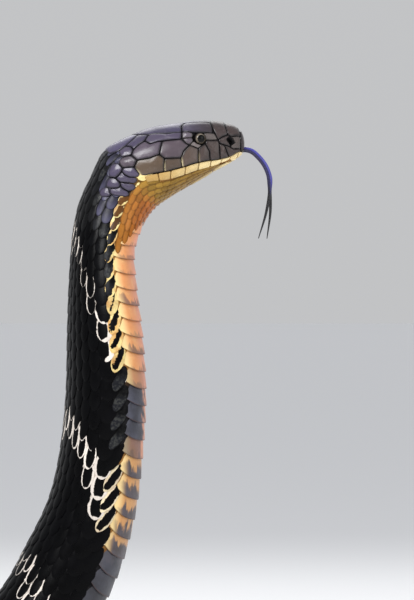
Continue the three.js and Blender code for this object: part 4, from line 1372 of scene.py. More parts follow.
@dataclass
class ScaleCoat:
    """The overlapping small scales of a length of the body, joined into one piece."""

    body: Body
    lattice: Lattice
    marks: Markings
    name: str
    first: float
    last: float
    covers: list[Array]
    seed: int
    columns: int = 6
    stations: tuple[float, ...] = (0.0, 0.1, 0.32, 0.55, 0.75, 0.89, 0.97, 1.0)
    overlap: float = 1.45
    seen_at: float = 0.6
    # place, and: breadth as a share of the row's, height of the crown, lift of the free end, reach of cream rims
    breadths: Table = ((0, 0.6), (66, 0.57), (330, 0.56), (480, 0.69), (3600, 0.71))
    crowns: Table = ((0, 0.2), (66, 0.5), (130, 0.4), (330, 0.36), (480, 0.34), (3600, 0.3))
    free_lifts: Table = ((0, -0.12), (380, -0.15), (520, -0.58), (3600, -0.5))
    rims: Table = ((70, 6), (77, 1.05), (108, 1), (124, 0.9), (148, 1.1), (162, 2.9), (206, 2.7))
    root_lift: float = -1.0
    thickness: float = 0.26
    sunk: float = 0.6
    full_width: float = 7.0
    patch: float = 0.003
    # shares of a scale's length where it may lie under a shield, and where it may lie on the belly
    probes: tuple[float, ...] = (0.2, 0.55, 0.9, 0.22)
    head_end: float = 66.0
    under_lip: float = 2.4

    def covered(self, place: Array, girth: Array) -> Array:
        """Tells which points lie under a shield.

        Args:
            place: Place of each point.
            girth: Girth of each.

        Returns:
            True for each that does.
        """
        under = np.zeros(place.shape, bool)
        for outline in self.covers:
            under |= inside(outline, place, np.abs(girth))
        return under

    def shown(self, place: Array, row: Array) -> Array:
        """Tells which scales show: those that aren't all under shields, and lie behind or below the lip.

        Args:
            place: Place of each root.
            row: Signed row, plus one, of each.

        Returns:
            True for those that show.
        """
        length = self.overlap * read_off(self.lattice.pitches, place)
        spots = place + np.array(self.probes)[:, None] * length
        girths = np.abs(self.lattice.follow(spots, row)[0])
        hidden = self.covered(spots[:3], girths[:3]).all(axis=0)
        belly = girths[3] > self.body.half_girth(spots[3]) - 0.9 * self.lattice.open_at(spots[3])
        spot, girth = spots[1], girths[1]
        head = (spot < self.head_end) & (girth < self.body.lip(spot) + self.under_lip)
        return ~hidden & ~(belly & (np.abs(row) > self.lattice.body_rows)) & ~head & (spot > COAT_ENDS[0])

    def looks(self, place: Array, row: Array, height: Array, draw: np.random.Generator) -> Values:
        """How each scale is marked: its ground, and its pale rim by how far it reaches in and which way it leans.

        Args:
            place: Place at which each scale is seen.
            row: Its signed row plus one.
            height: Its height.
            draw: Source of the small differences.

        Returns:
            The values by name.
        """
        marks, lowest = self.marks, height > 0.87
        thick = bell(place, 185.0, 26.0) * (height > 0.7) * (height < 0.87)
        band = marks.band(place - 5 * thick + draw.normal(0, 2.5, place.shape), height)
        cream = marks.cream_edges(place, height)
        near = cream * (1 - smooth(100, 118, place))
        tone = marks.tone(place, height) * (1 - 0.75 * near)
        tone = np.maximum(tone, 0.75 * lowest * (height < 1) * bell(place, 138.0, 26.0))
        broad = 0.5 + 0.5 * smooth(200, 240, place) + smooth(0.6, 0.8, height) * (0.8 - 0.35 * lowest)
        broad = broad * (1 - 0.4 * smooth(1500, 2600, place)) * (1 + 0.9 * thick)
        reach = np.where(band > 0.4, broad * (0.8 + 0.5 * draw.random(place.shape)), -1.0)
        reach = np.where(cream > 0.5, np.maximum(reach, read_off(self.rims, place)), reach)
        lean = draw.uniform(-1.0, 1.0, place.shape)
        outward = np.minimum(0.95 - 0.8 * smooth(148, 165, place) * lowest - 1.5 * (1 - smooth(108, 120, place)), 0.9)
        leaning = 0.35 * lean + outward * np.sign(row) * (1 - smooth(205, 240, place))
        lean = np.where((height > 0.72) & (place < 330), leaning, lean)
        flecks = (draw.random(place.shape) < 0.0025) & (place > 110) & (reach < 0)
        reach, lean = np.where(flecks, 0.3, reach), np.where(flecks, np.sign(lean) * 2.2, lean)
        return {
            "broad": broad,
            "reach": reach * np.where(cream > 0.5, draw.uniform(0.75, 1.2, place.shape), 1.0),
            "lean": np.where(reach < 0, 0.0, lean),
            "cream": np.maximum(cream, 0.5 * lowest * between(220, 240, 310, 330, place)),
            "tone": tone,
            "gold": np.maximum(marks.gold(place, height), 0.32 * near),
            "warm": marks.warm(place, height),
            "skew": np.sign(row) * 0.75 * (height > 0.86) * (height < 1) * (place < 400),
        }

    def build(self) -> Piece:
        """Lays every scale on the body.

        A scale starts at its root and runs back for a bit more than the distance to the next. Its half width at a
        share t of its length is the row's width times a round leaf shape. It rises evenly from under its
        neighbours to its free end, with a low crown along its middle.

        Returns:
            The piece.
        """
        across, along, layer, faces = scale_template(self.columns, np.array(self.stations))
        place, row = self.lattice.roots(self.first, self.last)
        keep = self.shown(place, row)
        place, row = place[keep, None], row[keep, None]
        draw = np.random.default_rng(self.seed)
        size, lot = 1 + draw.normal(0, 0.025, place.shape), draw.random(place.shape)
        slant = np.minimum(1.6 * (np.abs(row) == self.lattice.body_rows) * bell(place, 230.0, 75.0), 1)
        turn = draw.normal(0, 0.03, place.shape) - 0.42 * np.sign(row) * slant
        length = self.overlap * read_off(self.lattice.pitches, place) * size
        s = np.minimum(place + along * length, self.body.total_length)
        middle, width = self.lattice.follow(s, row)
        breadth = read_off(self.breadths, place)
        power = np.where(along > 0.5, 0.68, 0.6) * (0.72 + 0.28 * smooth(80, 120, place))
        leaf = (1 - np.abs(2 * along - 1) ** 2.4) ** power
        g = middle + across * leaf * breadth * width + turn * (along - 0.3) * length
        rise = self.root_lift + (read_off(self.free_lifts, place) - self.root_lift) * along**0.8
        crown = read_off(self.crowns, place) * (1 - across**2) * np.sin(math.pi * along) ** 0.5
        lift = (rise + crown - layer * self.thickness) * np.minimum(width / self.full_width, 1.0)
        points = self.body.surface(s, g, lift - self.sunk * self.covered(s, g))
        seen = place + self.seen_at * length
        girth, width = self.lattice.follow(seen, row)
        values = self.looks(seen, row, self.lattice.height(seen, girth), draw)
        reach, broad = values["reach"], values.pop("broad")
        ahead = (self.marks.band(s, self.lattice.height(s, g)) > 0.5) & (along > 0.5)
        reach = np.where(ahead & (reach < 0), 0.75 * broad, reach) * np.minimum(width / self.full_width, 1.0)
        values |= {"across": across, "along": along, "reach": reach, "lot": lot, "wide": breadth * width}
        values["u"] = 0.5 + 0.48 * girth / self.body.half_girth(seen) + across / 2 * self.patch
        share = (place - self.first) / (self.last - self.first)
        values["v"] = 0.02 + 0.96 * share + (along - 0.5) * self.patch
        return make_mesh(self.name, points, repeat_faces(faces, len(across), len(place)), values, 40.0)


@dataclass
class BellyScutes:
    """The broad overlapping scutes of the belly, from the throat to the tail tip."""

    body: Body
    lattice: Lattice
    marks: Markings
    columns: int = 26
    stations: tuple[float, ...] = (0.0, 0.35, 0.7, 0.93, 1.0)
    overlap: float = 1.3
    breadth: float = 1.07
    root_lift: float = -1.15
    floor_lift: float = -0.1
    raised_lift: float = 0.35
    least_lift: float = -1.6
    thickness: float = 0.32
    first: float = 99.0
    last: float = 3592.0
    seed: int = 11
    # place, and the distance from one scute to the next
    pitches: Table = (
        (0, 7.6), (105, 7.6), (140, 9.2), (190, 10.6), (270, 11.4), (2300, 11.3), (2880, 9.4), (3300, 6.8), (3600, 3.6),
    )

    def template(self) -> tuple[Array, Array, Array, Faces]:
        """One scute as a thin closed grid.

        Returns:
            Across (-1 to 1), along (0 to 1) and layer (0 top, 1 under) of each point, and the faces.
        """
        across, along = np.meshgrid(np.linspace(-1, 1, self.columns + 1), self.stations)
        count = across.size
        index = np.arange(count).reshape(across.shape)
        rim = np.concatenate([index[0, :-1], index[:-1, -1], index[-1, :0:-1], index[::-1, 0]])
        top, wall = grid_faces(index)[:, ::-1], grid_faces(np.stack([rim, rim + count], 1))[:, ::-1]
        faces = [np.vstack([top, top[:, ::-1] + count, wall])]
        return np.tile(across.ravel(), 2), np.tile(along.ravel(), 2), np.repeat([0.0, 1.0], count), faces

    def build(self) -> Piece:
        """Lays the scutes on the belly.

        Each is a grid across and along. Its free rear edge runs forward at the two ends by the fifth power of the
        way out, and it rises from its root to that edge, more on the raised neck than on the floor.

        Returns:
            The piece.
        """
        places, pitches = self.body.places, read_off(self.pitches, self.body.places)
        phase = np.concatenate([[0.0], np.cumsum(np.diff(places) * 2 / (pitches[1:] + pitches[:-1]))])
        place = np.interp(np.arange(1, int(phase[-1])), phase, places)
        place = place[(place > self.first) & (place < self.last), None]
        across, along, layer, faces = self.template()
        out, pitch = np.abs(across), np.interp(place, places, pitches)
        length = self.overlap * pitch
        s = np.minimum(place + along * (1 - 0.36 * out**5 + 0.08 * out**2) * length, self.body.total_length)
        half = self.body.half_girth(s)
        reach = self.lattice.open_at(np.maximum(s, self.first)) * self.breadth
        g = np.minimum(half + across * reach * (1 - 0.05 * along**6 * smooth(0.7, 1.0, out)), 2 * half - 1e-6)
        centre = self.body.section(place)
        clear = np.clip((centre[..., 2] - centre[..., 8] * centre[..., 10]) / 8.0, 0, 1)
        free = self.floor_lift + (self.raised_lift - self.floor_lift) * clear
        rise = self.root_lift + (free - self.root_lift) * along**0.9
        lift = np.maximum(rise - 0.75 * out**8 - layer * self.thickness, self.least_lift)
        lift = lift * np.minimum(pitch / 10.0, 1.0) * np.minimum(reach / 8.0, 1.0)
        points = self.body.surface(s, np.where(across < 0, g, g - 2 * half), lift)
        values = self.looks(place + 0.6 * length, np.random.default_rng(self.seed))
        order = np.arange(len(place))[:, None]
        values |= {"u": 0.5 + 0.48 * across, "v": (order + 0.05 + 0.9 * along) / len(place)}
        values |= {"across": across, "along": along}
        return make_mesh("belly_scutes", points, repeat_faces(faces, len(across), len(place)), values, 40.0)

    def looks(self, place: Array, draw: np.random.Generator) -> Values:
        """Each scute's share of slate, of dark smudge at its rear, and how dark its slate is.

        The scutes are warm down to the first dark stretch, warm again with dark rear halves behind it, and slate
        from there on, with a trace of warmth where each band meets the belly.

        Args:
            place: Place of each scute.
            draw: Source of the small differences.

        Returns:
            The values by name.
        """
        smudge = 0.6 * smooth(108, 150, place) * draw.random(place.shape) ** 1.5 + smooth(252, 262, place)
        return {
            "slate": self.marks.slate(place),
            "strip": between(204, 212, 252, 258, place),
            "smudge": np.clip(smudge, 0, 1),
            "dull": smooth(250, 262, place),
            "deep": smooth(300, 360, place) * 0.75,
            "lot": draw.random(place.shape),
        }


@dataclass
class Skin:
    """The one skin of the whole animal, under scales and shields, with the mouth line, eye sockets and nostrils."""

    body: Body
    lattice: Lattice
    marks: Markings
    depth: float = 0.85
    columns: int = 26
    crowding: float = 1.8
    eye: Pair = (28.0, 25.0)
    nostril: Pair = (8.1, 20.8)
    nostril_size: Pair = (2.3, 2.7)
    # first place, last place and distance of its rings: close on the head, wide on the body
    rings: Table = ((0, 3, 0.3), (3, 36, 0.42), (36, 80, 0.7), (80, 130, 1.5), (130, 420, 2.6), (420, 3597, 6.5))

    def side_girths(self, place: Array) -> Array:
        """Girths of the columns of one side: they crowd at the mouth line, and spread evenly behind the head.

        Args:
            place: Place of each ring.

        Returns:
            For each ring, the girths from the ridge to the belly.
        """
        half, behind = self.body.half_girth(place), smooth(70, 110, place)
        lip = np.minimum(self.body.lip(place), 0.97 * half) * (1 - behind) + 0.5 * half * behind
        even = np.linspace(0, 1, self.columns + 1)
        above = even * 0.45 + 0.55 * (1 - (1 - even) ** self.crowding)
        below = (even * 0.45 + 0.55 * even**self.crowding)[1:]
        return np.hstack([lip * above, lip + (half - lip) * below])

    def carve(self, place: Array, girth: Array) -> tuple[Array, Array]:
        """How deep the skin is cut at the mouth line, round the eyes and in the nostrils, and how dark it is painted
        there as shade.

        Args:
            place: Place of each point.
            girth: Girth of each point.

        Returns:
            Depth in millimetres, and darkness of the painted shade from 0 to 1.
        """
        g = np.abs(girth)
        mouth = bell(g, self.body.lip(place), 0.75) * between(0.3, 0.9, 68, 73, place)
        eye = np.hypot(place - self.eye[0], g - self.eye[1])
        (at, high), (long, wide) = self.nostril, self.nostril_size
        pit = 1 - smooth(0.35, 1.1, np.hypot((place - at) / long, (g - high) / wide))
        dark = np.maximum(np.maximum(mouth, 1 - smooth(4.2, 5.4, eye)), pit)
        return 1.3 * mouth + 1.3 * (1 - smooth(2.9, 4.6, eye)) + 3.2 * pit, dark

    def build(self) -> Piece:
        """Builds the skin: rings of points from the ridge down the right side and up the left, closed at both ends.

        Returns:
            The piece.
        """
        runs = [np.linspace(-1, 0, 4)[:-1], *(np.arange(*ring) for ring in self.rings), [self.body.total_length]]
        place = np.concatenate(runs)[:, None]
        on_body = np.maximum(place, 0)
        side = self.side_girths(on_body)
        girths = np.hstack([side, -side[:, -2:0:-1]])
        height = self.lattice.height(on_body, girths)
        under = 0.7 * smooth(0.96, 1.06, height) * smooth(112, 124, place)
        depth = (self.depth + under) * np.clip(self.body.section(on_body)[..., 9] / 18.0, 0.12, 1.0)
        cut, dark = self.carve(place, girths)
        points = self.body.surface(place, girths, -depth - cut)
        points[..., 0] -= self.depth * (place < 0)
        belly = (height > 0.955) * smooth(95, 110, place) * (1 - self.marks.slate(place))
        gold = np.maximum(self.marks.gold(on_body, height) * smooth(0.5, 1.0, place), belly)
        order, turn = (np.linspace(0, 1, count) for count in girths.shape)
        values = {
            "band": (self.marks.band(place, height) * (place > 100) * (height < 0.955), 0, 0),
            "gold": (gold, 0, 0),
            # The painted shade of the hollows.
            "pit": (dark, 0, 0),
            "u": (turn, 0.5, 0.5),
            "v": (order[:, None], 0, 1),
        }
        return make_mesh("skin", *tube(points, [points[0].mean(0), points[-1].mean(0)], values, True))


@dataclass
class Plate:
    """One shield of the head: its outline over place and girth, and how it looks."""

    name: str
    corners: Array
    top_lift: float = 0.42
    crown: float = 0.16
    seam: float = 0.16
    olive: float = 0.0
    pale_rear: float = 0.0
    crown_tone: float = 0.0
    glow: float = 0.0
    polar: bool = False
    edge_step: float = 1.1
    spacing: float = 0.8

    def outline(self) -> Array:
        """The outline with its corners rounded and its points evenly spaced.

        Returns:
            Points over place and girth, in order.
        """
        dense = []
        for start, end in zip(self.corners, np.roll(self.corners, -1, axis=0)):
            count = max(2, math.ceil(float(np.hypot(*(end - start))) / self.edge_step))
            dense.append(start + (end - start) * (np.arange(count) / count)[:, None])
        points = np.vstack(dense)
        points = (np.roll(points, 1, axis=0) + 2 * points + np.roll(points, -1, axis=0)) / 4
        loop = np.vstack([points, points[:1]])
        way = way_along(loop)
        wanted = np.linspace(0, way[-1], max(16, round(way[-1] / self.spacing)), endpoint=False)
        return np.stack([np.interp(wanted, way, line) for line in loop.T], 1)


@dataclass
class ShieldSet:
    """A set of shields joined into one piece."""

    body: Body
    name: str
    plates: list[Plate]
    # how far in from the outline each ring lies, and its lift
    rings: Table = ((0, -1.3), (0, -0.35), (0.1, -0.06), (0.26, 0.12), (0.55, 0.24), (1, 0.33), (1.7, 0.39))
    shrink: tuple[float, ...] = (0.78, 0.56, 0.34, 0.14)
    plain_lift: float = 0.42
    # girth and place that its map is wide and high
    map_size: Pair = (170.0, 90.0)
    seed: int = 3

    def lay(self, plate: Plate, sign: int, draw: np.random.Generator) -> Shape:
        """Lays one shield on the head.

        Rings of points run from its sunk root up its wall and over its rounded rim, each a little further in from
        the outline by a distance on the skin, and then shrink into its middle, with a low crown.

        Args:
            plate: The shield.
            sign: 1 on the right side and -1 on the left.
            draw: Source of the small differences.

        Returns:
            Points, faces and values.
        """
        outline = plate.outline()
        middle, (place, girth) = outline.mean(0), outline.T
        slant = np.ones(outline.shape)
        if not plate.polar:
            slant[:, 0] = self.stretch(outline)
        edge = (np.roll(outline, -1, axis=0) - np.roll(outline, 1, axis=0)) * slant
        turning = np.sign(np.sum(place * np.roll(girth, -1) - np.roll(place, -1) * girth))
        rim = outline + plate.seam * turning * unit(np.stack([-edge[:, 1], edge[:, 0]], 1)) / slant
        reach = np.linalg.norm((middle - rim) * slant, axis=1)
        insets, lifts = np.array(self.rings).T
        lifts = np.where(lifts > 0, lifts * plate.top_lift / self.plain_lift, lifts)
        insets, shrink = insets[:, None], np.array(self.shrink)[:, None]
        shares = np.minimum(insets / np.maximum(reach, 0.1), 0.45 * insets / insets[-1])
        shares = np.vstack([shares, 1 - (1 - shares[-1]) * shrink])
        away = np.vstack([insets + 0 * reach, insets[-1] + (1 - shrink) * reach * 0.8])
        crowns = lifts[-1] + plate.crown * (1 - shrink[:, 0] ** 2)
        spots = rim + (middle - rim) * shares[..., None]
        rows, columns = shares.shape
        spots = np.vstack([spots.reshape(-1, 2), middle, middle])
        away = np.append(away, [0.0, reach.min()])
        lift = np.append(np.repeat([*lifts, *crowns], columns), [0.0, lifts[-1] + plate.crown])
        place, girth = self.body.from_polar(spots) if plate.polar else (spots[:, 0], spots[:, 1] * sign)
        points = self.body.surface(place, girth, lift)
        points[-2] = points[:columns].mean(0)
        behind = smooth(-1.5, 0.2, place - np.interp(girth * sign, *self.rear_edge(outline)))
        below = np.abs(girth) - self.body.lip(place)
        wide, high = self.map_size
        values = {
            "inward": away,
            "pale": plate.pale_rear * behind * (away < 1.5) * smooth(-8, -3, below),
            "back": smooth(12, 66, place),
            # How far below the mouth line a point lies, for the painted shade under the jaw.
            "under": 0.55 * smooth(4, 14, below),
            "u": spots[:, 0] / wide + 0.1 if plate.polar else 0.5 + girth / wide,
            "v": spots[:, 1] / wide + 0.1 if plate.polar else place / high + 0.05,
        }
        whole = {"olive": plate.olive, "crown": plate.crown_tone, "glow": plate.glow, "lot": draw.random()}
        values |= {key: np.full(len(points), value) for key, value in whole.items()}
        return points, tube_faces(rows, columns, sign * turning < 0), values

    def rear_edge(self, outline: Array) -> tuple[Array, Array]:
        """The rearmost place of an outline at each girth.

        Args:
            outline: Points of the outline.

        Returns:
            Rising girths, and the place at each.
        """
        girths = np.linspace(outline[:, 1].min(), outline[:, 1].max(), 24)
        gaps = np.abs(outline[:, 1] - girths[:, None])
        return girths, np.where(gaps < 1.2, outline[:, 0], -99.0).max(axis=1)

    def stretch(self, outline: Array, step: float = 0.4) -> Array:
        """How many millimetres of skin a millimetre of place makes at each point, as the snout slants.

        Args:
            outline: The points.
            step: How far the skin is measured either way.

        Returns:
            The millimetres at each.
        """
        place = np.maximum(outline[:, 0], step)
        angle = self.body.angle_of(place, outline[:, 1])
        span = self.body.at_angle(place + step, angle) - self.body.at_angle(place - step, angle)
        return np.maximum(np.linalg.norm(span, axis=1) / (2 * step), 0.5)

    def build(self) -> Piece:
        """Lays all the shields, those of the sides on both.

        Returns:
            The piece.
        """
        draw, shapes = np.random.default_rng(self.seed), []
        for plate in self.plates:
            signs = (1,) if plate.name.startswith("middle_") else (1, -1)
            shapes += [self.lay(plate, sign, draw) for sign in signs]
        return make_mesh(self.name, *join(shapes))


@dataclass
class Head:
    """The shields of the head and the lower jaw."""

    body: Body
    jaw_high: float = 6.2
    # top lift, crown and seam of the jaw's shields
    jaw_relief: Triple = (0.3, 0.14, 0.13)
    # the middle shields at the snout tip: places of their edge at the mouth line, and the corners of the rest
    rostral_cuts: tuple[float, ...] = (2.2, 1.7, 1.2, 0.9)
    rostral_top: Table = ((2.05, 0), (1.95, 5), (1.85, 10.6), (2.15, 16), (2.3, 19.8))
    mental_cuts: tuple[float, ...] = (1.0, 1.4, 2.0, 2.6, 3.1)

    def upper_outlines(self) -> dict[str, Array]:
        """The outlines of one side's shields over the mouth line.

        Returns:
            Their corners by name.
        """
        outlines = {name: np.array(corners, float) for name, corners in SIDE_SHIELDS.items()}
        for i, top in enumerate(LIP_TOPS):
            cuts = np.linspace(LIP_CUTS[i + 1], LIP_CUTS[i], 7)
            outlines[f"upper_lip_{i + 1}"] = np.vstack([top, self.along_lip(cuts, -0.1)])
        return outlines

    def along_lip(self, cuts: Array, below: float | Array) -> Array:
        """Corners at these places, this far below the mouth line."""
        return np.stack([cuts, self.body.lip(cuts) + below], 1)

    def tip_outline(self, side: Array) -> Array:
        """The outline of a shield at the snout tip, in flat coordinates about it, from its right side's corners."""
        right = self.body.to_polar(*side.T)
        return np.vstack([right, (right * (1, -1))[::-1]])

    def upper(self) -> ShieldSet:
        """The shields of the upper head.

        Returns:
            The set.
        """
        plates = []
        for name, outline in self.upper_outlines().items():
            place, girth = outline.mean(0)
            lip, neck = name.startswith("upper_lip"), name.startswith(("neck", "nape_low"))
            plates.append(
                Plate(
                    name,
                    outline,
                    crown_tone=0.8 if neck else (1 - smooth(13, 36, girth)) * smooth(10, 36, place),
                    olive=0.3 + 0.5 * smooth(10, 55, place) if lip else 0.15,
                    pale_rear=smooth(24, 30, place) if lip else 0.0,
                    glow=GLOWS.get(name, 0.0),
                    crown=0.34 if girth > 19 else 0.2,
                )
            )
        plates.append(Plate("middle_frontal", np.array(FRONTAL, float), crown_tone=1.0))
        lip = self.along_lip(np.array([*self.rostral_cuts, self.body.gap_place + 0.03]), -0.15)
        plates.append(Plate("middle_rostral", self.tip_outline(np.vstack([self.rostral_top, lip])), polar=True))
        return ShieldSet(self.body, "head_shields", plates)

    def jaw_outlines(self) -> dict[str, Array]:
        """The outlines of one side's shields of the lower lip and the chin.

        Returns:
            Their corners by name.
        """
        outlines = {}
        for i, (start, end) in enumerate(zip(JAW_CUTS[:-1], JAW_CUTS[1:])):
            cuts = np.linspace(start, end, 6)
            high = self.jaw_high * (0.6 + 0.4 * smooth(2, 26, cuts) - 0.25 * smooth(45, 69, cuts))
            bottom = (self.along_lip(cuts, high) + np.stack([0.22 * high, 0 * high], 1))[::-1]
            if i == 0:
                bottom = np.vstack([bottom[0], (8.4, 39.0), (7.0, 41.4), (3.9, 27.1)])
            outlines[f"lower_lip_{i + 1}"] = np.vstack([self.along_lip(cuts, 0.25), bottom])
        for i, corners in enumerate(CHIN_SHIELDS):
            place, from_belly = np.array(corners, float).T
            outlines[f"chin_{i + 1}"] = np.stack([place, self.body.half_girth(place) - from_belly], 1)
        return outlines

    def lower(self) -> ShieldSet:
        """The shields of the lower jaw.

        Returns:
            The set.
        """
        plates = [Plate(name, outline, *self.jaw_relief) for name, outline in self.jaw_outlines().items()]
        side = self.along_lip(np.array([self.body.gap_place + 0.12, *self.mental_cuts]), 0.25)
        rear = (3.8, self.body.lip(3.8) + 3.0), (6.8, self.body.half_girth(6.8) - 0.2)
        outline = self.tip_outline(np.vstack([side, *rear]))
        plates.append(Plate("middle_mental", outline, *self.jaw_relief, polar=True))
        return ShieldSet(self.body, "jaw_shields", plates)

    def covers(self) -> list[Array]:
        """All outlines of one side, and the frontal, for scales that would lie under them."""
        return [*self.upper_outlines().values(), *self.jaw_outlines().values(), np.array(FRONTAL, float)]


@dataclass
class Eye:
    """One eye: a ball sunk in the head, so that a round of it shows."""

    body: Body
    side: Side
    place: float = 28.0
    girth: float = 25.0
    radius: float = 4.3
    shown: float = 3.5
    ahead: float = 0.33
    upward: float = 0.02
    # the way in which its iris is painted lit, as a painted highlight, seen from its middle
    lit_towards: Triple = (-0.7, 0.0, 0.6)
    rings: int = 30
    segments: int = 48

    def build(self) -> Piece:
        """Builds the ball about an axis that points out of the head and a little forward.

        A point at an angle off the axis and round it is the centre plus the radius times the cosine along the axis
        and the sine across it.

        Returns:
            The piece.
        """
        place, girth = np.array([self.place]), np.array([self.girth])
        centre = self.body.at_angle(place, self.body.angle_of(place, girth))[0]
        centre[1] = (centre[1] + math.sqrt(self.radius**2 - self.shown**2)) * self.side.value
        axis = unit(np.array([self.ahead, -self.side.value, self.upward]))
        first = unit(np.cross(axis, [0.0, 0.0, 1.0]))
        off = np.linspace(0, math.pi, self.rings + 1)[1:-1, None]
        turn = np.linspace(0, 2 * math.pi, self.segments, endpoint=False)
        ring = np.cos(turn)[:, None] * first + np.sin(turn)[:, None] * np.cross(axis, first)
        ball = np.cos(off)[..., None] * axis + np.sin(off)[..., None] * ring
        points, ends = (centre + self.radius * part for part in (ball, np.array([axis, -axis])))
        values = {
            "off_axis": (off, 0, math.pi),
            # How far each point faces the side on which the iris is painted lit.
            "rear": (ring @ unit(np.array(self.lit_towards)), 0, 0),
            "u": (0.5 + off * np.cos(turn) / 7, 0.5, 0.97),
            "v": (0.5 + off * np.sin(turn) / 7, 0.5, 0.5),
        }
        return make_mesh(f"eye_ball_{self.side.name.lower()}", *tube(points, ends, values, True))


@dataclass
class Tongue:
    """The tongue: two strands side by side that part at the fork."""

    body: Body
    # behind the snout tip, above it, and for the two tips how far to the right
    stem: Table = ((5, -4.6), (0.4, -3.6), (-4.4, -4.4), (-9.7, -8.6), (-14, -14.4), (-16.6, -21.8), (-16.8, -28))
    tips: Table = ((-9.5, -60.6, 3.0), (-15, -60.6, -3.0))
    # how far to the side a strand lies before the fork, at it and at its bow behind it
    sides: Triple = (0.75, 0.95, 2.0)
    stem_size: Pair = (2.9, 3.5)
    tip_size: float = 0.5
    columns: int = 16
    steps: int = 90

    def strand(self, number: int) -> Shape:
        """One strand: an oval carried along a smooth line through the stem to its tip, closed at both ends.

        Args:
            number: Number of its tip.

        Returns:
            Points, faces and values.
        """
        tip, fork = self.tips[number], self.stem[-1]
        near, at_fork, at_bow = (math.copysign(side, tip[2]) for side in self.sides)
        bow = (fork[0] + (tip[0] - fork[0]) * 0.45 - 1.2, fork[1] + (tip[1] - fork[1]) * 0.45, at_bow)
        knots = np.array([*((x, z, near) for x, z in self.stem[:-1]), (*fork, at_fork), bow, tip])
        way = way_along(knots)
        path = smooth_rows(way, knots, np.linspace(0, way[-1], self.steps))
        centre = np.stack([self.body.tip_forward - path[:, 0], -path[:, 2], self.body.tip_height + path[:, 1]], 1)
        ahead = unit(np.gradient(centre, axis=0))
        across = unit(np.array([0.0, 1.0, 0.0]) - ahead * ahead[:, 1:2])
        upward = unit(np.cross(ahead, across))
        t = np.linspace(0, 1, self.steps)[:, None]
        fork_at = way[len(self.stem) - 1] / way[-1]
        slim = 0.42 * smooth(fork_at - 0.08, fork_at + 0.06, t)
        slim += 0.58 * np.clip((t - fork_at) / (1 - fork_at), 0, 1) ** 1.6
        wide, thick = ((size * (1 - slim) + self.tip_size * slim) / 2 for size in self.stem_size)
        turn = np.linspace(0, 2 * math.pi, self.columns, endpoint=False)
        out = across[:, None] * (wide * np.cos(turn))[..., None]
        points = centre[:, None] + out + upward[:, None] * (thick * np.sin(turn))[..., None]
        values = {
            # How far the surface faces up, for the painted shade beneath.
            "top": (np.sin(turn), 0, 0),
            "tip": (t, 0, 1),
            "u": (0.5 * number + 0.45 * np.arange(self.columns) / self.columns, *[0.2 + 0.5 * number] * 2),
            "v": (np.arange(self.steps)[:, None] / self.steps, 0, 1),
        }
        return tube(points, [points[0].mean(0), points[-1].mean(0)], values)

    def build(self) -> Piece:
        """Joins the two strands."""
        return make_mesh("forked_tongue", *join([self.strand(i) for i in range(len(self.tips))]))


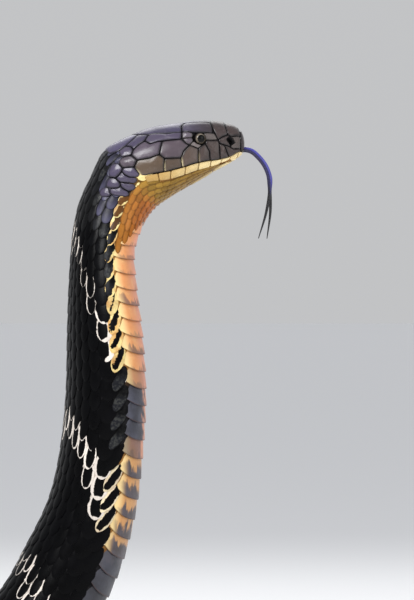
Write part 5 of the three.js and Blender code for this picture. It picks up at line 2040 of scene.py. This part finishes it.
@dataclass
class Studio:
    """The pale floor, the soft lights and the camera."""

    floor_size: float = 160.0
    camera_at: Triple = (0.2698, -4.267, 0.2981)
    lens: float = 400.0
    sensor: float = 36.0
    horizon: Colour = (0.54, 0.545, 0.555)
    zenith: Colour = (0.62, 0.635, 0.67)

    def build(self) -> None:
        """Makes the floor, the world, the lights and the camera."""
        self.floor()
        self.world()
        self.light("key", (-1.1, -2.2, 2.2), 1.3, 84.0, (0.15, 0.0, 0.25))
        self.light("fill", (2.4, -1.8, 1.2), 2.0, 16.0, (0.2, 0.0, 0.2))
        self.light("rim", (0.2, 2.4, 2.2), 1.8, 24.0, (0.1, 0.1, 0.2))
        self.camera()
        bpy.context.scene.view_settings.view_transform = "Standard"

    def floor(self) -> None:
        """A large flat floor just under the belly."""
        half = self.floor_size / 2
        mesh = bpy.data.meshes.new("floor")
        mesh.from_pydata([(-half, -half, 0), (half, -half, 0), (half, half, 0), (-half, half, 0)], [], [(0, 1, 2, 3)])
        mesh.materials.append(FloorFinish().material())
        floor = link("floor", mesh)

    def world(self) -> None:
        """Pale even light from all round, level with the far floor's brightness at the horizon."""
        world = bpy.data.worlds.new("studio")
        bpy.context.scene.world = world
        world.use_nodes = True
        tree = world.node_tree
        upward = node(tree, "SeparateXYZ", {0: node(tree, "TexCoord", {}, "Generated")}, 2)
        colours = {0: node(tree, "MapRange", {0: upward}), 6: self.horizon, 7: self.zenith}
        put(tree.nodes["Background"].inputs[0], node(tree, "Mix", colours, 2, data_type="RGBA"))

    def light(self, name: str, at: tuple, size: float, power: float, target: tuple) -> None:
        """A square soft light that looks at a point.

        Args:
            name: Its name.
            at: Where it stands.
            size: Its side.
            power: Its power in watts.
            target: The point.
        """
        data = bpy.data.lights.new(name, "AREA")
        data.size, data.energy = size, power
        lamp = link(name, data)
        lamp.location = at
        x, y, z = np.array(target) - np.array(at)
        lamp.rotation_euler = (math.pi / 2 + math.atan2(z, math.hypot(x, y)), 0.0, -math.atan2(x, y))

    def camera(self) -> None:
        """A level camera with a long lens, straight at the animal's right side."""
        data = bpy.data.cameras.new("camera")
        data.lens, data.sensor_width, data.clip_end = self.lens, self.sensor, 200.0
        camera = link("camera", data)
        camera.location = self.camera_at
        camera.rotation_euler = (math.pi / 2, 0.0, 0.0)
        bpy.context.scene.camera = camera


def dress(piece: Piece, material: Material, slot: Slot, *replaced: str) -> None:
    """Gives a piece its finish and its body, and hides the nodes it stands for.

    Args:
        piece: The piece.
        material: Its material.
        slot: The record's material slot; not used.
        replaced: Names of the nodes that it replaces.
    """
    piece.data.materials.append(material)
    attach(piece, "root")
    if replaced:
        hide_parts(*replaced)


def main() -> None:
    """Builds the animal and the studio in order."""
    logging.basicConfig(level=logging.INFO, format="%(name)s %(message)s")
    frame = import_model()
    body = Body()
    lattice = Lattice(body)
    marks = Markings(lattice)
    flesh = [name for name in frame["nodes"] if not name.startswith(("eye_", "tongue"))]
    dress(Skin(body, lattice, marks).build(), SkinFinish().material(), Slot.BODY, *flesh)
    head = Head(body)
    dress(head.upper().build(), ShieldFinish().material(), Slot.SHIELDS)
    dress(head.lower().build(), JawFinish().material(), Slot.JAW)
    nape = ScaleFinish(name="scales_of_the_nape", gloss=0.18).material()
    neck = ScaleFinish().material()
    trunk = ScaleFinish(name="scales_of_the_trunk", gloss=0.15).material()
    for i, (first, last) in enumerate(zip(COAT_ENDS[:-1], COAT_ENDS[1:])):
        covers = head.covers() if i == 0 else []
        coat = ScaleCoat(body, lattice, marks, f"scales_{i + 1}", first, last, covers, seed=7 + i)
        dress(coat.build(), (nape, neck)[i] if i < 2 else trunk, Slot.BODY)
    dress(BellyScutes(body, lattice, marks).build(), ScuteFinish().material(), Slot.BODY)
    for side in Side:
        dress(Eye(body, side).build(), EyeFinish().material(), Slot.EYE, f"eye_{side.name.lower()}")
    dress(Tongue(body).build(), TongueFinish().material(), Slot.TONGUE, "tongue")
    Studio().build()


if __name__ == "__main__":
    main()
